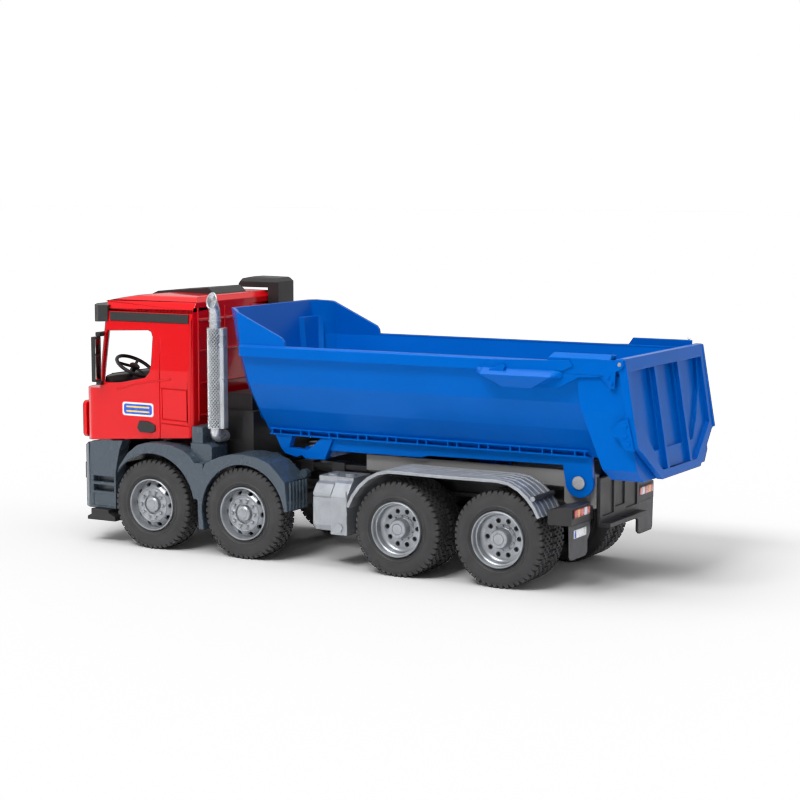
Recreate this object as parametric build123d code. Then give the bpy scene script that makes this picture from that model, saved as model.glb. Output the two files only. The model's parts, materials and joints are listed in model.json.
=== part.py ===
from build123d import *
from math import atan2, cos, degrees, hypot, pi, radians, sin
import os

# Toy dump truck, 1:16. +X is the direction of travel, +Y the driver's side, Z = 0 the ground.

# ---- wheels and axles ----
TYRE_R = 37.5
RIM_R = 22.0
AXLE_R = 2.5
RUNNING = 0.06
AXLE_X = {"1": 178.6, "2": 86.9, "3": -58.0, "4": -146.2}
FRONT_AXLES = ("1", "2")
FRONT_TYRE_Y = (57.5, 79.2)
GUARD_Y = 79.6
TWIN_OUTER_Y = (61.6, 81.6)
TWIN_INNER_Y = (40.6, 60.6)
FRONT_LIP_Y = 79.7
TWIN_LIP_Y = 82.6

# ---- dump body ----
WALL = 2.2
TIP_X = -196.5
TIP_Z = 80.0
TIP_PIN_R = 4.0
RAIL_Y = 79.0
REAR_X = -241.6
GATE_SLOPE = 0.163
GATE_TOP_Z = 179.0
GATE_DEPTH = 5.0
GATE_PIVOT_X = -243.5
GATE_PIVOT_Z = 175.0
GATE_PIN_R = 1.5
# outline of the tub at each level: height, half width, side front x, centre front x, centre half width
TUB_LEVELS = (
    (100.0, 42.5, 82.2, 89.5, 33.0),
    (122.3, 57.5, 84.5, 94.0, 46.0),
    (143.5, 68.5, 86.7, 98.5, 55.0),
    (174.0, 76.4, 89.8, 104.0, 59.0),
    (204.0, 76.8, 92.9, 109.8, 59.1),
)

# ---- cab ----
CAB_Y = 70.0
CAB_REAR_X = 143.0
CAB_FRONT_X = 258.0
CAB_WALL = 2.4
CAB_PIVOT_X = 254.0
CAB_PIVOT_Z = 80.0
FLAP_PIVOT_X = 260.0
FLAP_PIVOT_Z = 121.6
WHEEL_SPIN_POS = (231.0, 30.0, 147.5)
STEER_TILT = -30.0
STEER_SHAFT_R = 1.2
STRIPE_END_X = 227.0
MIRROR_PIVOT = (236.5, 72.9)
MIRROR_PIN_R = 1.0
FLAP_PIN_R = 0.8
CAB_PIN_R = 1.5
CAB_BELT_Z = 132.0
CAB_TOP_Z = 213.0
PILLAR_LEAN = 11.0
# front corners in plan: x, and how far in from the cab's side
LOWER_FRONT = ((247.5, 0.0), (252.4, 3.0), (255.2, 9.0), (257.4, 24.0), (258.0, 44.0))
UPPER_FRONT = ((237.0, 0.0), (241.0, 3.0), (246.0, 12.0), (250.5, 24.0), (255.5, 46.0))

# ---- chassis ----
RAIL_IN = 26.0
RAIL_OUT = 34.0
RAIL_TOP = 74.0
RAIL_BOTTOM = 60.0
SUBFRAME_Y = 39.5
SUBFRAME_TOP = 88.3
PROP_ARM = 92.0
TOW_HOLE_R = 2.1
PROP_PIN_R = 2.2
PIPE_R = 4.6
SHIELD_R = 6.4


def box(x0, x1, y0, y1, z0, z1):
    centre = ((x0 + x1) / 2, (y0 + y1) / 2, (z0 + z1) / 2)
    return Pos(*centre) * Box(abs(x1 - x0), abs(y1 - y0), abs(z1 - z0))


def mirrored(shape):
    return mirror(shape, about=Plane.XZ)


def both(shape):
    return [shape, mirrored(shape)]


def side_prism(points, y0, y1):
    """A side view outline (x, z), from y0 to y1."""
    plane = Plane(origin=(0, max(y0, y1), 0), x_dir=(1, 0, 0), z_dir=(0, -1, 0))
    face = plane * make_face(Polyline(*points, close=True))
    return extrude(face, amount=abs(y1 - y0), dir=(0, -1, 0))


def front_prism(points, x0, x1):
    """A front view outline (y, z), from x0 to x1."""
    plane = Plane(origin=(min(x0, x1), 0, 0), x_dir=(0, 1, 0), z_dir=(1, 0, 0))
    face = plane * make_face(Polyline(*points, close=True))
    return extrude(face, amount=abs(x1 - x0), dir=(1, 0, 0))


def plan_prism(points, z0, z1):
    """A plan outline (x, y), from z0 to z1."""
    face = Pos(0, 0, z0) * make_face(Polyline(*points, close=True))
    return extrude(face, amount=z1 - z0, dir=(0, 0, 1))


def rod_y(x, z, r, y0, y1):
    return Pos(x, (y0 + y1) / 2, z) * Rot(90, 0, 0) * Cylinder(r, abs(y1 - y0))


def rod_z(x, y, r, z0, z1):
    return Pos(x, y, (z0 + z1) / 2) * Cylinder(r, z1 - z0)


def turned_y(points, x, z):
    """A closed (radius, y) outline turned about the Y line through (x, z)."""
    face = make_face(Polyline(*[(r, y) for r, y in points], close=True))
    return Pos(x, 0, z) * revolve(face, axis=Axis.Y)


def gate_x(z):
    """Rear face of the tailgate at a height."""
    return -247.0 - (GATE_TOP_Z - z) * GATE_SLOPE


def rear_x(z):
    """Rear edge of the dump body at a height."""
    return gate_x(z) + GATE_DEPTH + 0.5


# ================= dump body =================
def tub_polygon(level, inset, z):
    height, half, side_x, centre_x, centre_half = level
    half -= inset
    centre_half -= inset * 0.42
    front_side = side_x - inset * 0.42
    front_centre = centre_x - inset
    back = rear_x(height) - (30 if inset else 0)
    points = [(back, -half), (front_side, -half), (front_centre, -centre_half)]
    points += [(front_centre, centre_half), (front_side, half), (back, half)]
    return Pos(0, 0, z) * make_face(Polyline(*points, close=True))


def stacked(inset, floor_z, top_extra):
    solid = None
    for low, high in zip(TUB_LEVELS, TUB_LEVELS[1:]):
        z0 = floor_z if low is TUB_LEVELS[0] else low[0]
        z1 = high[0] + (top_extra if high is TUB_LEVELS[-1] else 0)
        part = loft([tub_polygon(low, inset, z0), tub_polygon(high, inset, z1)], ruled=True)
        solid = part if solid is None else solid + part
    return solid


def tub_cavity():
    return stacked(WALL, TUB_LEVELS[0][0] + 3.0, 4.0)


def tub_shell(cavity):
    outer = stacked(0, TUB_LEVELS[0][0], 0)
    wing = [(-300, 60), (-300, 175.7), (46.7, 175.7), (47.4, 179.5), (49.7, 182.4), (92.7, 202.0)]
    wing += [(94, 202.6), (104, 203.9), (130, 203.9), (130, 60)]
    return (outer & side_prism(wing, -90, 90)) - cavity


def tub_rear_frame(cavity):
    """The box frame round the rear opening, down to the chute's lip."""
    side = [(-208.8, 166), (-208.8, 157), (-211.4, 140.7), (-230.5, 87.3), (rear_x(87.3), 87.3)]
    side += [(rear_x(166), 166)]
    section = [(-75.9, 170), (-75.9, 139), (-71.5, 96), (-62, 87.3), (62, 87.3), (71.5, 96)]
    section += [(75.9, 139), (75.9, 170)]
    frame = side_prism(side, -80, 80) & front_prism(section, -280, -190)
    return frame - cavity


def tub_rails():
    outline = [(74.6, 175.7), (77.0, 175.7), (RAIL_Y, 174.2), (RAIL_Y, 166.4), (74.6, 166.4)]
    rail = front_prism(outline, -236.3, 89.4)
    cap_outline = [(74.6, 166.4), (74.6, 181.4), (75.6, 181.6), (RAIL_Y, 178.0), (RAIL_Y, 166.4)]
    cap = front_prism(cap_outline, -236.3, -184)
    cap -= side_prism([(-183, 190), (-183, 173), (-189.5, 182), (-189.5, 190)], 60, 90)
    lug = front_prism([(74.6, 176), (74.6, 181.4), (75.6, 181.5), (76.2, 181), (76.2, 176)], -239.2, -236)
    skirt = side_prism([(-150, 167), (-150, 154), (-193.6, 155), (-211, 164.2), (-228, 165.3),
                        (-236.3, 156), (-236.3, 167)], 76.0, RAIL_Y - 0.4)
    return both(rail + cap + lug + skirt)


def tub_flange():
    """The slotted ledge along the bottom of the half-pipe."""
    lower = box(-205, 80.0, 40.5, 48.5, 100.0, 101.2)
    upper = box(-206, 80.6, 44.0, 48.5, 104.6, 105.8)
    ledge = lower + upper
    step = 13.6
    pairs = int((80 + 200) / (2 * step))
    for i in range(pairs + 1):
        x = 78 - 2 * step * i
        ledge += box(x - 1.2, x, 42, 48.5, 100.5, 105.5)
        ledge += box(x - 9.2, x - 8.0, 42, 48.5, 100.5, 105.5)
    return both(ledge)


def tub_underside():
    sill = side_prism([(24, 100.4), (24, 89.5), (-60, 89.8), (-66, 91.6), (-186, 92.8), (-186, 100.4)],
                      40.2, 44.2)
    leg = side_prism([(76, 100.4), (59, 100.4), (62, 90), (44, 89), (30, 100.4), (20, 100.4), (28, 82.2),
                      (46, 81.8), (50, 84.5), (55, 82.5), (66, 85), (70, 89)], 40.2, 47)
    cross = side_prism([(51, 91), (23, 91), (29, 82.4), (45.5, 82.4)], -40.4, 40.4)
    post = side_prism([(51, 91), (23, 91), (26, 100.4), (48, 100.4)], 14, 20)
    ear = side_prism([(-181.5, 100.4), (-184.9, TIP_Z), (TIP_X + 11.6, TIP_Z - 1), (TIP_X, TIP_Z - 3),
                      (TIP_X - 11.6, TIP_Z - 1), (-207.9, TIP_Z), (-206.5, 100.4)], 40.2, 44.2)
    ear += rod_y(TIP_X, TIP_Z, 11.5, 40.2, 44.2)
    ear -= rod_y(TIP_X, TIP_Z, TIP_PIN_R + RUNNING, 35, 50)
    prop_x = TIP_X + PROP_ARM
    hanger = side_prism([(prop_x - 12, 100.4), (prop_x - 4.5, TIP_Z), (prop_x + 4.5, TIP_Z),
                         (prop_x + 12, 100.4)], 13, 17)
    hanger += rod_y(prop_x, TIP_Z, 4.5, 13, 17)
    hanger -= rod_y(prop_x, TIP_Z, PROP_PIN_R, 10, 20)
    pieces = both(sill) + both(leg) + both(post) + both(ear) + both(hanger) + [cross]
    return pieces


def front_wall_ribs():
    """Folds pressed into the inside of the front wall."""
    outline = [(-0.5, 34), (-0.5, 60), (-8, 66), (-5, 60), (-4.2, 40)]
    low_scale = 0.72
    low = Pos(92.0, 0, 112) * make_face(Polyline(*[(x, y * low_scale) for x, y in outline], close=True))
    high = Pos(106.4, 0, 190) * make_face(Polyline(*outline, close=True))
    return both(loft([low, high], ruled=True))


def gate_tongue():
    """The bracket outside the tailgate's flange that holds its hinge pin."""
    outline = [(-228, 178.0), (-245.8, 178.0), (-247.3, GATE_PIVOT_Z), (-245.6, 172.0), (-240.6, 169.6),
               (-240.0, 157.0), (-236.6, 157.0), (-230.5, 166.4), (-228, 166.4)]
    tongue = side_prism(outline, 78.7, 79.9)
    for x, z in ((-234.9, 165.6), (-237.6, 161.0)):
        tongue += rod_y(x, z, 1.4, 79.5, 80.8)
    return tongue - rod_y(GATE_PIVOT_X, GATE_PIVOT_Z, GATE_PIN_R, 70, 85)


def ledge():
    """The deflector that stands off each rail."""
    top = [(-127, 79.1), (-133, 86.6), (-190.8, 86.6), (-198.5, 79.1)]
    bottom = [(-146.5, 79.1), (-149, 80.4), (-173, 80.4), (-175, 79.1)]
    upper = make_face(Pos(0, 0, 168.2) * Polyline(*[(x, min(y, 80.4)) for x, y in top], close=True))
    middle = make_face(Pos(0, 0, 163.6) * Polyline(*top, close=True))
    lower = make_face(Pos(0, 0, 154.0) * Polyline(*bottom, close=True))
    body = loft([upper, middle], ruled=True) + loft([middle, lower], ruled=True)
    plate = side_prism([(-129.6, 168.2), (-141, 174.6), (-203.5, 176.4), (-206.8, 172.4), (-198.5, 168.2)],
                       79.1, 80.4)
    peg = side_prism([(-137.5, 165.6), (-140, 167.6), (-150.5, 171.6), (-152.5, 169.6), (-150.5, 165.6)],
                     81.0, 83.0)
    return body + plate + peg


def build_dump_body():
    cavity = tub_cavity()
    tub = tub_shell(cavity) + tub_rear_frame(cavity)
    for piece in tub_rails() + tub_flange() + tub_underside() + front_wall_ribs():
        tub += piece
    for side in (1, -1):
        tub -= rod_y(GATE_PIVOT_X, GATE_PIVOT_Z, 7.4, 75.8 * side, 90 * side)
        tub -= rod_y(GATE_PIVOT_X, GATE_PIVOT_Z, 4.8, 73.4 * side, 90 * side)
    for tongue in both(gate_tongue()):
        tub += tongue
    pin = rod_y(GATE_PIVOT_X, GATE_PIVOT_Z, GATE_PIN_R, 73.6, 79.9)
    prop_pin = rod_y(TIP_X + PROP_ARM, TIP_Z, PROP_PIN_R, -29, 29)
    write("dump_tub", tub)
    write("ledges", *both(ledge()))
    write("dump_pins", prop_pin, *both(pin))


# ================= tailgate =================
def gate_outline(inset, bottom_inset):
    half = 76.2 - inset
    foot = 38.5 - inset * 0.6
    return [(-half, GATE_TOP_Z), (-half, 115), (-foot, 87 + bottom_inset), (foot, 87 + bottom_inset),
            (half, 115), (half, GATE_TOP_Z)]


def gate_slab(rear_offset, front_offset, low=60, high=200):
    """The space between two planes parallel to the tailgate."""
    outline = [(gate_x(low) + rear_offset, low), (gate_x(low) + front_offset, low)]
    outline += [(gate_x(high) + front_offset, high), (gate_x(high) + rear_offset, high)]
    return side_prism(outline, -90, 90)


def gate_cut(outline, rear_offset, front_offset):
    return front_prism(outline, -280, -220) & gate_slab(rear_offset, front_offset)


def build_tailgate():
    panel = gate_cut(gate_outline(0, 0), 0, GATE_DEPTH)
    recess = [(-70.5, 169.5), (-70.5, 118.5), (-34.5, 93.5), (34.5, 93.5), (70.5, 118.5), (70.5, 169.5)]
    plug = [(-70.2, 171.0), (-69.6, 165.0), (-64.8, 143.5), (-53.4, 122.0), (-40.5, 106.0)]
    plug += [(-y, z) for y, z in reversed(plug)]
    panel += gate_cut(plug, GATE_DEPTH - 0.5, GATE_DEPTH + 3.0)
    deep = [(-68.4, 169.5), (-67.8, 165.2), (-63.1, 143.9), (-51.8, 122.8), (-38.9, 107.8)]
    deep += [(-y, z) for y, z in reversed(deep)]
    panel -= gate_cut(recess, -1, GATE_DEPTH - 1.6)
    panel -= gate_cut(deep, -1, GATE_DEPTH + 1.2)
    for y in (-23.0, 23.0):
        rib = [(y - 2.2, 171), (y - 2.2, 92), (y + 2.2, 92), (y + 2.2, 171)]
        foot = [(y - 5.6, 171), (y - 5.6, 92), (y + 5.6, 92), (y + 5.6, 171)]
        panel += gate_cut(rib, 0.2, GATE_DEPTH - 1.0)
        panel += gate_cut(foot, 3.4, GATE_DEPTH - 1.0)
        core = [(y - 5.6, 171), (y - 5.6, 107.8), (y + 5.6, 107.8), (y + 5.6, 171)]
        panel += gate_cut(core, 3.6, GATE_DEPTH + 1.4)
    flange = side_prism([(gate_x(178.5) - 0.4, 178.5), (gate_x(114) - 1.0, 114), (gate_x(114) + 5.5, 112.2),
                         (gate_x(138) + 6.2, 138), (gate_x(138) + 5.0, 139), (gate_x(168) + 6.0, 168),
                         (GATE_PIVOT_X + 3.6, 172), (GATE_PIVOT_X + 3.6, 178.5)], 76.2, 78.4)
    for piece in both(flange):
        panel += piece
    panel -= rod_y(GATE_PIVOT_X, GATE_PIVOT_Z, GATE_PIN_R + RUNNING, 60, 90)
    panel -= rod_y(GATE_PIVOT_X, GATE_PIVOT_Z, GATE_PIN_R + RUNNING, -90, -60)
    write("tailgate_panel", panel)
    hook = side_prism([(-250.6, 136.0), (-244.0, 133.0), (-239.0, 127.5), (-237.4, 124.6), (-240.6, 121.4),
                       (-243.2, 121.8), (-246.0, 117.0), (-249.0, 112.4), (-256.0, 112.4), (-254.0, 122.0)],
                      78.7, 80.0)
    for x, z in ((-248.8, 130.0), (-249.0, 123.2), (-251.4, 117.6)):
        hook += rod_y(x, z, 1.7, 79.5, 80.9)
    write("tailgate_hooks", *both(hook))


# ================= lifting prop =================
def build_prop():
    hinge_x = TIP_X + PROP_ARM
    foot_x = TIP_X + 2 * PROP_ARM
    frame = box(hinge_x + 30, hinge_x + 38, -18, 18, TIP_Z - 3.0, TIP_Z + 3.0)
    for side in (1, -1):
        frame += box(hinge_x, foot_x, 17.4 * side, 21.4 * side, TIP_Z - 3.4, TIP_Z + 3.4)
        frame += rod_y(hinge_x, TIP_Z, 4.4, 17.4 * side, 21.4 * side)
        frame += rod_y(foot_x, TIP_Z, 4.4, 17.4 * side, 21.4 * side)
    frame -= rod_y(hinge_x, TIP_Z, PROP_PIN_R + RUNNING, -40, 40)
    frame -= rod_y(foot_x, TIP_Z, PROP_PIN_R, -40, 40)
    write("prop_arm", frame)
    write("prop_foot_pin", rod_y(foot_x, TIP_Z, PROP_PIN_R, -33.4, 33.4))


# ================= cab =================
def cab_plan(corners, inset, lean, z):
    """The cab in plan at a height, its front corners moved back by lean."""
    half = CAB_Y - inset
    points = [(CAB_REAR_X + inset, -half + 3.2), (CAB_REAR_X + 3.2 + inset, -half)]
    points += [(x - inset - lean, -half + from_side) for x, from_side in corners]
    points += [(x, -y) for x, y in reversed(points)]
    return Pos(0, 0, z) * make_face(Polyline(*points, close=True))


def cab_solid(inset):
    """The cab's body: a broad lower front, and above the belt a front that leans back."""
    i = inset
    side = [(CAB_REAR_X + i, 94.7), (CAB_REAR_X + i, 207 - i), (CAB_REAR_X + 4 + i, 211.6 - i),
            (190, 212.6 - i)]
    side += [(207, 211.0 - i), (222, 208.6 - i), (234, 206.0 - i), (242.0 - i * 0.7, 202.0 - i * 0.7)]
    side += [(248.0 - i, 195.0), (252.6 - i, 178.0), (257.4 - i, 133.0), (CAB_FRONT_X - i, 126.0)]
    side += [(CAB_FRONT_X - i, 86.6)]
    half = CAB_Y - i
    front = [(-half, 80), (-half, 150), (-half + 1.6, 190), (-half + 3.4, 199),
             (-half + 8.0, 206.5 - i * 0.6),
             (-half + 15.0, 211.0 - i), (-half + 26, 212.7 - i)]
    front += [(-y, z) for y, z in reversed(front)]
    belt = CAB_BELT_Z - i
    lower = extrude(cab_plan(LOWER_FRONT, i, 0, 70), amount=belt - 70, dir=(0, 0, 1))
    upper = loft([cab_plan(UPPER_FRONT, i, 0, belt - 0.5), cab_plan(UPPER_FRONT, i, PILLAR_LEAN, CAB_TOP_Z)],
                 ruled=True)
    return (lower + upper) & side_prism(side, -80, 80) & front_prism(front, 130, 270)


def handle_blank():
    outline = [(180.0, 99.0), (183.5, 96.9), (196.0, 96.9), (198.8, 100.5), (196.5, 106.2), (187.0, 106.2),
               (180.2, 103.4)]
    return side_prism(outline, 69.2, 71.0)


def cab_window():
    points = [(229.5, 181.2), (187.5, 183.0), (184.2, 181.6), (182.6, 177.4), (184.0, 154.0), (186.0, 147.0),
              (190.5, 142.8), (217.3, 137.4), (232.6, 137.0), (235.0, 138.6), (235.2, 149.0), (231.6, 178.6)]
    return side_prism(points, -90, 90)


def groove(points, y, width=1.0, depth=1.1):
    """A moulded line along the cab's side."""
    solid = None
    for (x0, z0), (x1, z1) in zip(points, points[1:]):
        angle = degrees(atan2(z1 - z0, x1 - x0))
        length = ((x1 - x0) ** 2 + (z1 - z0) ** 2) ** 0.5 + width
        bar = Pos((x0 + x1) / 2, y, (z0 + z1) / 2) * Rot(0, -angle, 0) * Box(length, 2 * depth, width)
        solid = bar if solid is None else solid + bar
    return solid


def cab_shell():
    shell = cab_solid(0) - cab_solid(CAB_WALL)
    floor = cab_solid(CAB_WALL - 0.3) & side_prism([(143, 95.2), (143, 97.6), (258, 89.6), (258, 87.2)],
                                                   -69, 69)
    shell += floor
    shell -= cab_window()
    for blank in both(handle_blank()):
        shell -= blank
    windscreen = [(-57, 181.5), (-60.5, 136), (-57, 132.5), (57, 132.5), (60.5, 136), (57, 181.5),
                  (53, 185), (-53, 185)]
    shell -= front_prism(windscreen, 228, 270)
    door = [(175.2, 92.0), (175.2, 190.4)]
    sill = [(143.5, 104.4), (174.5, 105.6)]
    panel = [(147.5, 108.5), (172.5, 109.2), (172.8, 135.0), (147.8, 134.6)]
    belt = [(164.5, 142.8), (190, 139.4), (218.7, 131.9)]
    for side in (1, -1):
        for line in (door, sill, panel + panel[:1]):
            shell -= groove(line, CAB_Y * side)
        shell += groove(belt, (CAB_Y - 0.3) * side, 1.4, 0.8)
        shell -= box(146, STRIPE_END_X, (CAB_Y + 1) * side, (CAB_Y - 2.3) * side, 189.6, 197.4)
    for z in (112, 139, 166, 192):
        shell += box(CAB_REAR_X - 0.8, CAB_REAR_X + 1, -60, 60, z, z + 1.2)
    for y in (-60, -20, 20, 58.8):
        shell += box(CAB_REAR_X - 0.8, CAB_REAR_X + 1, y, y + 1.2, 108, 202)
    shell += cab_knuckles()
    shell += flap_bosses()
    return shell


def cab_knuckles():
    ear = side_prism([(CAB_PIVOT_X - 3.2, CAB_PIVOT_Z), (CAB_PIVOT_X - 6, 88.6), (CAB_PIVOT_X + 3.2, 88.6),
                      (CAB_PIVOT_X + 3.2, CAB_PIVOT_Z)], 22, 30)
    ear += rod_y(CAB_PIVOT_X, CAB_PIVOT_Z, 3.2, 22, 30)
    ear -= rod_y(CAB_PIVOT_X, CAB_PIVOT_Z, CAB_PIN_R + RUNNING, 20, 32)
    return both(ear)


def flap_bosses():
    boss = side_prism([(256.2, 119.6), (FLAP_PIVOT_X, 119.8), (FLAP_PIVOT_X, 123.4), (256.2, 124.6)], 44, 47)
    boss += rod_y(FLAP_PIVOT_X, FLAP_PIVOT_Z, 1.8, 44, 47)
    boss -= rod_y(FLAP_PIVOT_X, FLAP_PIVOT_Z, FLAP_PIN_R, 40, 50)
    return both(boss)


def build_cab():
    write("cab_shell", cab_shell())
    hatch = side_prism([(151.5, 212.6), (157, 217.2), (209.5, 212.8), (215.5, 210.2), (150, 210.6)], -24, 24)
    hatch -= cab_solid(0)
    write("roof_hatch", hatch)
    write("cab_stripes", *both(box(146.2, STRIPE_END_X - 0.2, CAB_Y - 2.2, CAB_Y - 1.0, 189.8, 197.2)))
    write("sun_visor", sun_visor())
    write("door_handles", *both(handle_blank()))
    build_intake()
    build_interior()


def sun_visor():
    """A thick blade round the top of the windscreen, hugging the cab's front."""
    plan = [(229.0, -69.4), (239.0, -69.4), (244.4, -66.6), (250.0, -57.0), (254.6, -40.0), (257.4, -14.0)]
    plan += [(x, -y) for x, y in reversed(plan)]
    side = [(229.0, 189.0), (257.6, 187.6), (257.6, 191.6), (252.0, 202.6), (229.0, 202.6)]
    blade = plan_prism(plan, 180, 210) & side_prism(side, -80, 80)
    return largest(blade - cab_solid(0))


def build_intake():
    hood = side_prism([(142.1, 200), (131.2, 200), (131.2, 219.5), (134.2, 222.8), (160.0, 223.2),
                       (169.4, 221.4),
                       (172.6, 217.0), (172.8, 214.4), (142.1, 214.4)], -69.0, -45.0)
    hood &= front_prism([(-69, 190), (-69, 219), (-67.4, 222), (-64, 223.6), (-50, 223.6), (-46.6, 222),
                         (-45, 219), (-45, 190)], 120, 180)
    riser = box(131.2, 142.0, -69.0, -45.0, 140, 201)
    riser = fillet(riser.edges().filter_by(Axis.Z), 2.2)
    write("air_intake", hood + riser)


def build_interior():
    dash = side_prism([(228.0, 99), (228.0, 127), (231.5, 137), (237.0, 141), (246.0, 141.5), (252.5, 138),
                       (252.5, 99)], -62, 62)
    dash &= cab_solid(CAB_WALL + 0.4)
    console = side_prism([(228.5, 100), (226, 112), (226, 130), (228.5, 134)], -8, 8)
    spin = Pos(*WHEEL_SPIN_POS) * Rot(0, STEER_TILT, 0)
    column = spin * Pos(0, 0, -15.0) * Cylinder(2.4, 26)
    hole = spin * Cylinder(STEER_SHAFT_R + RUNNING, 16)
    write("dashboard", largest((dash + console + column) - hole))
    seat = side_prism([(158, 100), (206, 100), (206, 117), (203, 121), (172, 119), (163, 168), (154, 168),
                       (156, 118)], 15, 48)
    write("seats", *both(seat))
    rim = Torus(16.5, 1.4)
    wheel = rim + Cylinder(4.2, 2.4) + Pos(0, 0, -3.6) * Cylinder(STEER_SHAFT_R, 8)
    for angle in (30, 150, 270):
        wheel += Rot(0, 0, angle) * Pos(9.0, 0, 0) * Box(15, 3.0, 1.6)
    write("steering_wheel", spin * wheel)


def build_flap():
    flap = box(258.4, 262.0, -63, 63, 88.0, 119.0)
    flap = fillet(flap.edges().filter_by(Axis.X), 4)
    flap += box(259.0, 261.4, -42.5, 42.5, 117, 121.6)
    flap += rod_y(FLAP_PIVOT_X, FLAP_PIVOT_Z, 1.8, -43.6, 43.6)
    for z in (93, 99, 105, 111):
        flap -= box(261.0, 263, -52, 52, z, z + 2.4)
    flap -= rod_y(FLAP_PIVOT_X, FLAP_PIVOT_Z, FLAP_PIN_R + RUNNING, -50, 50)
    write("grille_flap", flap)
    write("flap_pin", rod_y(FLAP_PIVOT_X, FLAP_PIVOT_Z, FLAP_PIN_R, -47, 47))


def build_mirrors():
    x, y = MIRROR_PIVOT
    head = box(x - 3.5, x + 0.6, y + 1.1, y + 9.5, 138.4, 176.1)
    head = fillet(head.edges().filter_by(Axis.Z), 1.4)
    head += rod_z(x, y, 1.9, 138.5, 176.0)
    head -= rod_z(x, y, MIRROR_PIN_R + RUNNING, 130, 190)
    write("mirror_left", head)
    write("mirror_right", mirrored(head))
    holder = rod_z(x, y, MIRROR_PIN_R, 136, 178.5)
    for z0, z1 in ((176.4, 179.6), (134.9, 138.1)):
        holder += box(x - 3.0, x + 1.5, 62.0, y + 1.6, z0, z1)
    write("mirror_arms", *both(largest(holder - cab_solid(0))))


# ================= chassis =================
def build_frame():
    rail = box(-206, 238, RAIL_IN, RAIL_OUT, RAIL_BOTTOM, RAIL_TOP)
    rail -= box(-207, 239, RAIL_IN + 3, RAIL_OUT + 1, RAIL_BOTTOM + 3, RAIL_TOP - 3)
    write("frame_rails", *both(rail))
    members = []
    for x in (214.0, 132.0, 22.0, -102.0, -190.0):
        members.append(box(x - 4, x + 4, -RAIL_IN, RAIL_IN, 62, 72))
    write("cross_members", *members)
    deck = box(-6.6, 62, RAIL_IN, 37.5, RAIL_TOP, 78.0)
    for x in (50.0, 20.0):
        deck += box(x - 6, x + 6, RAIL_IN, 39.0, 70.5, 79.5)
    write("frame_deck", *both(deck - box(-7, 70, RAIL_IN - 1, RAIL_OUT, 60, RAIL_TOP)))
    plate = box(-182, -7.0, 36.4, SUBFRAME_Y, 75.6, SUBFRAME_TOP)
    block = side_prism([(-182, SUBFRAME_TOP), (-182, 64), (-186, 60.4), (-208.5, 60.4), (-208.5, 86),
                        (-204, SUBFRAME_TOP)],
                       RAIL_OUT + 0.2, SUBFRAME_Y)
    plate += block
    plate -= rod_y(TIP_X, TIP_Z, TIP_PIN_R, 30, 50)
    foot_x = TIP_X + 2 * PROP_ARM
    slot_end = TIP_X + 2 * PROP_ARM * cos(radians(50))
    guide = box(-182, -7.0, 29.6, 36.4, RAIL_TOP, 86.4)
    guide -= box(slot_end - 4, foot_x + 3, 28, 34.2, TIP_Z - PROP_PIN_R - 0.3, TIP_Z + PROP_PIN_R + 0.3)
    write("subframe", *both(plate + guide))
    tip_pin = rod_y(TIP_X, TIP_Z, TIP_PIN_R, 28, 44.6) + rod_y(TIP_X, TIP_Z, 5.2, 44.5, 45.7)
    cab_pin = rod_y(CAB_PIVOT_X, CAB_PIVOT_Z, CAB_PIN_R, -36, 36)
    write("chassis_pins", cab_pin, *both(tip_pin))


def build_axles():
    shafts = []
    for name, x in AXLE_X.items():
        reach = 76.0 if name in FRONT_AXLES else 78.0
        shafts.append(rod_y(x, TYRE_R, AXLE_R, -reach, reach))
    write("axle_shafts", *shafts)
    beams = []
    for name, x in AXLE_X.items():
        half = 50.0 if name in FRONT_AXLES else 36.5
        beam = box(x - 5, x + 5, -half, half, 32.5, 42.5)
        for side in (1, -1):
            beam += side_prism([(x - 9, RAIL_BOTTOM), (x - 6, 40), (x + 6, 40), (x + 9, RAIL_BOTTOM)],
                               25.5 * side, 34 * side)
        beam -= rod_y(x, TYRE_R, AXLE_R, -90, 90)
        beams.append(beam)
    write("axle_beams", *beams)


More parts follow.
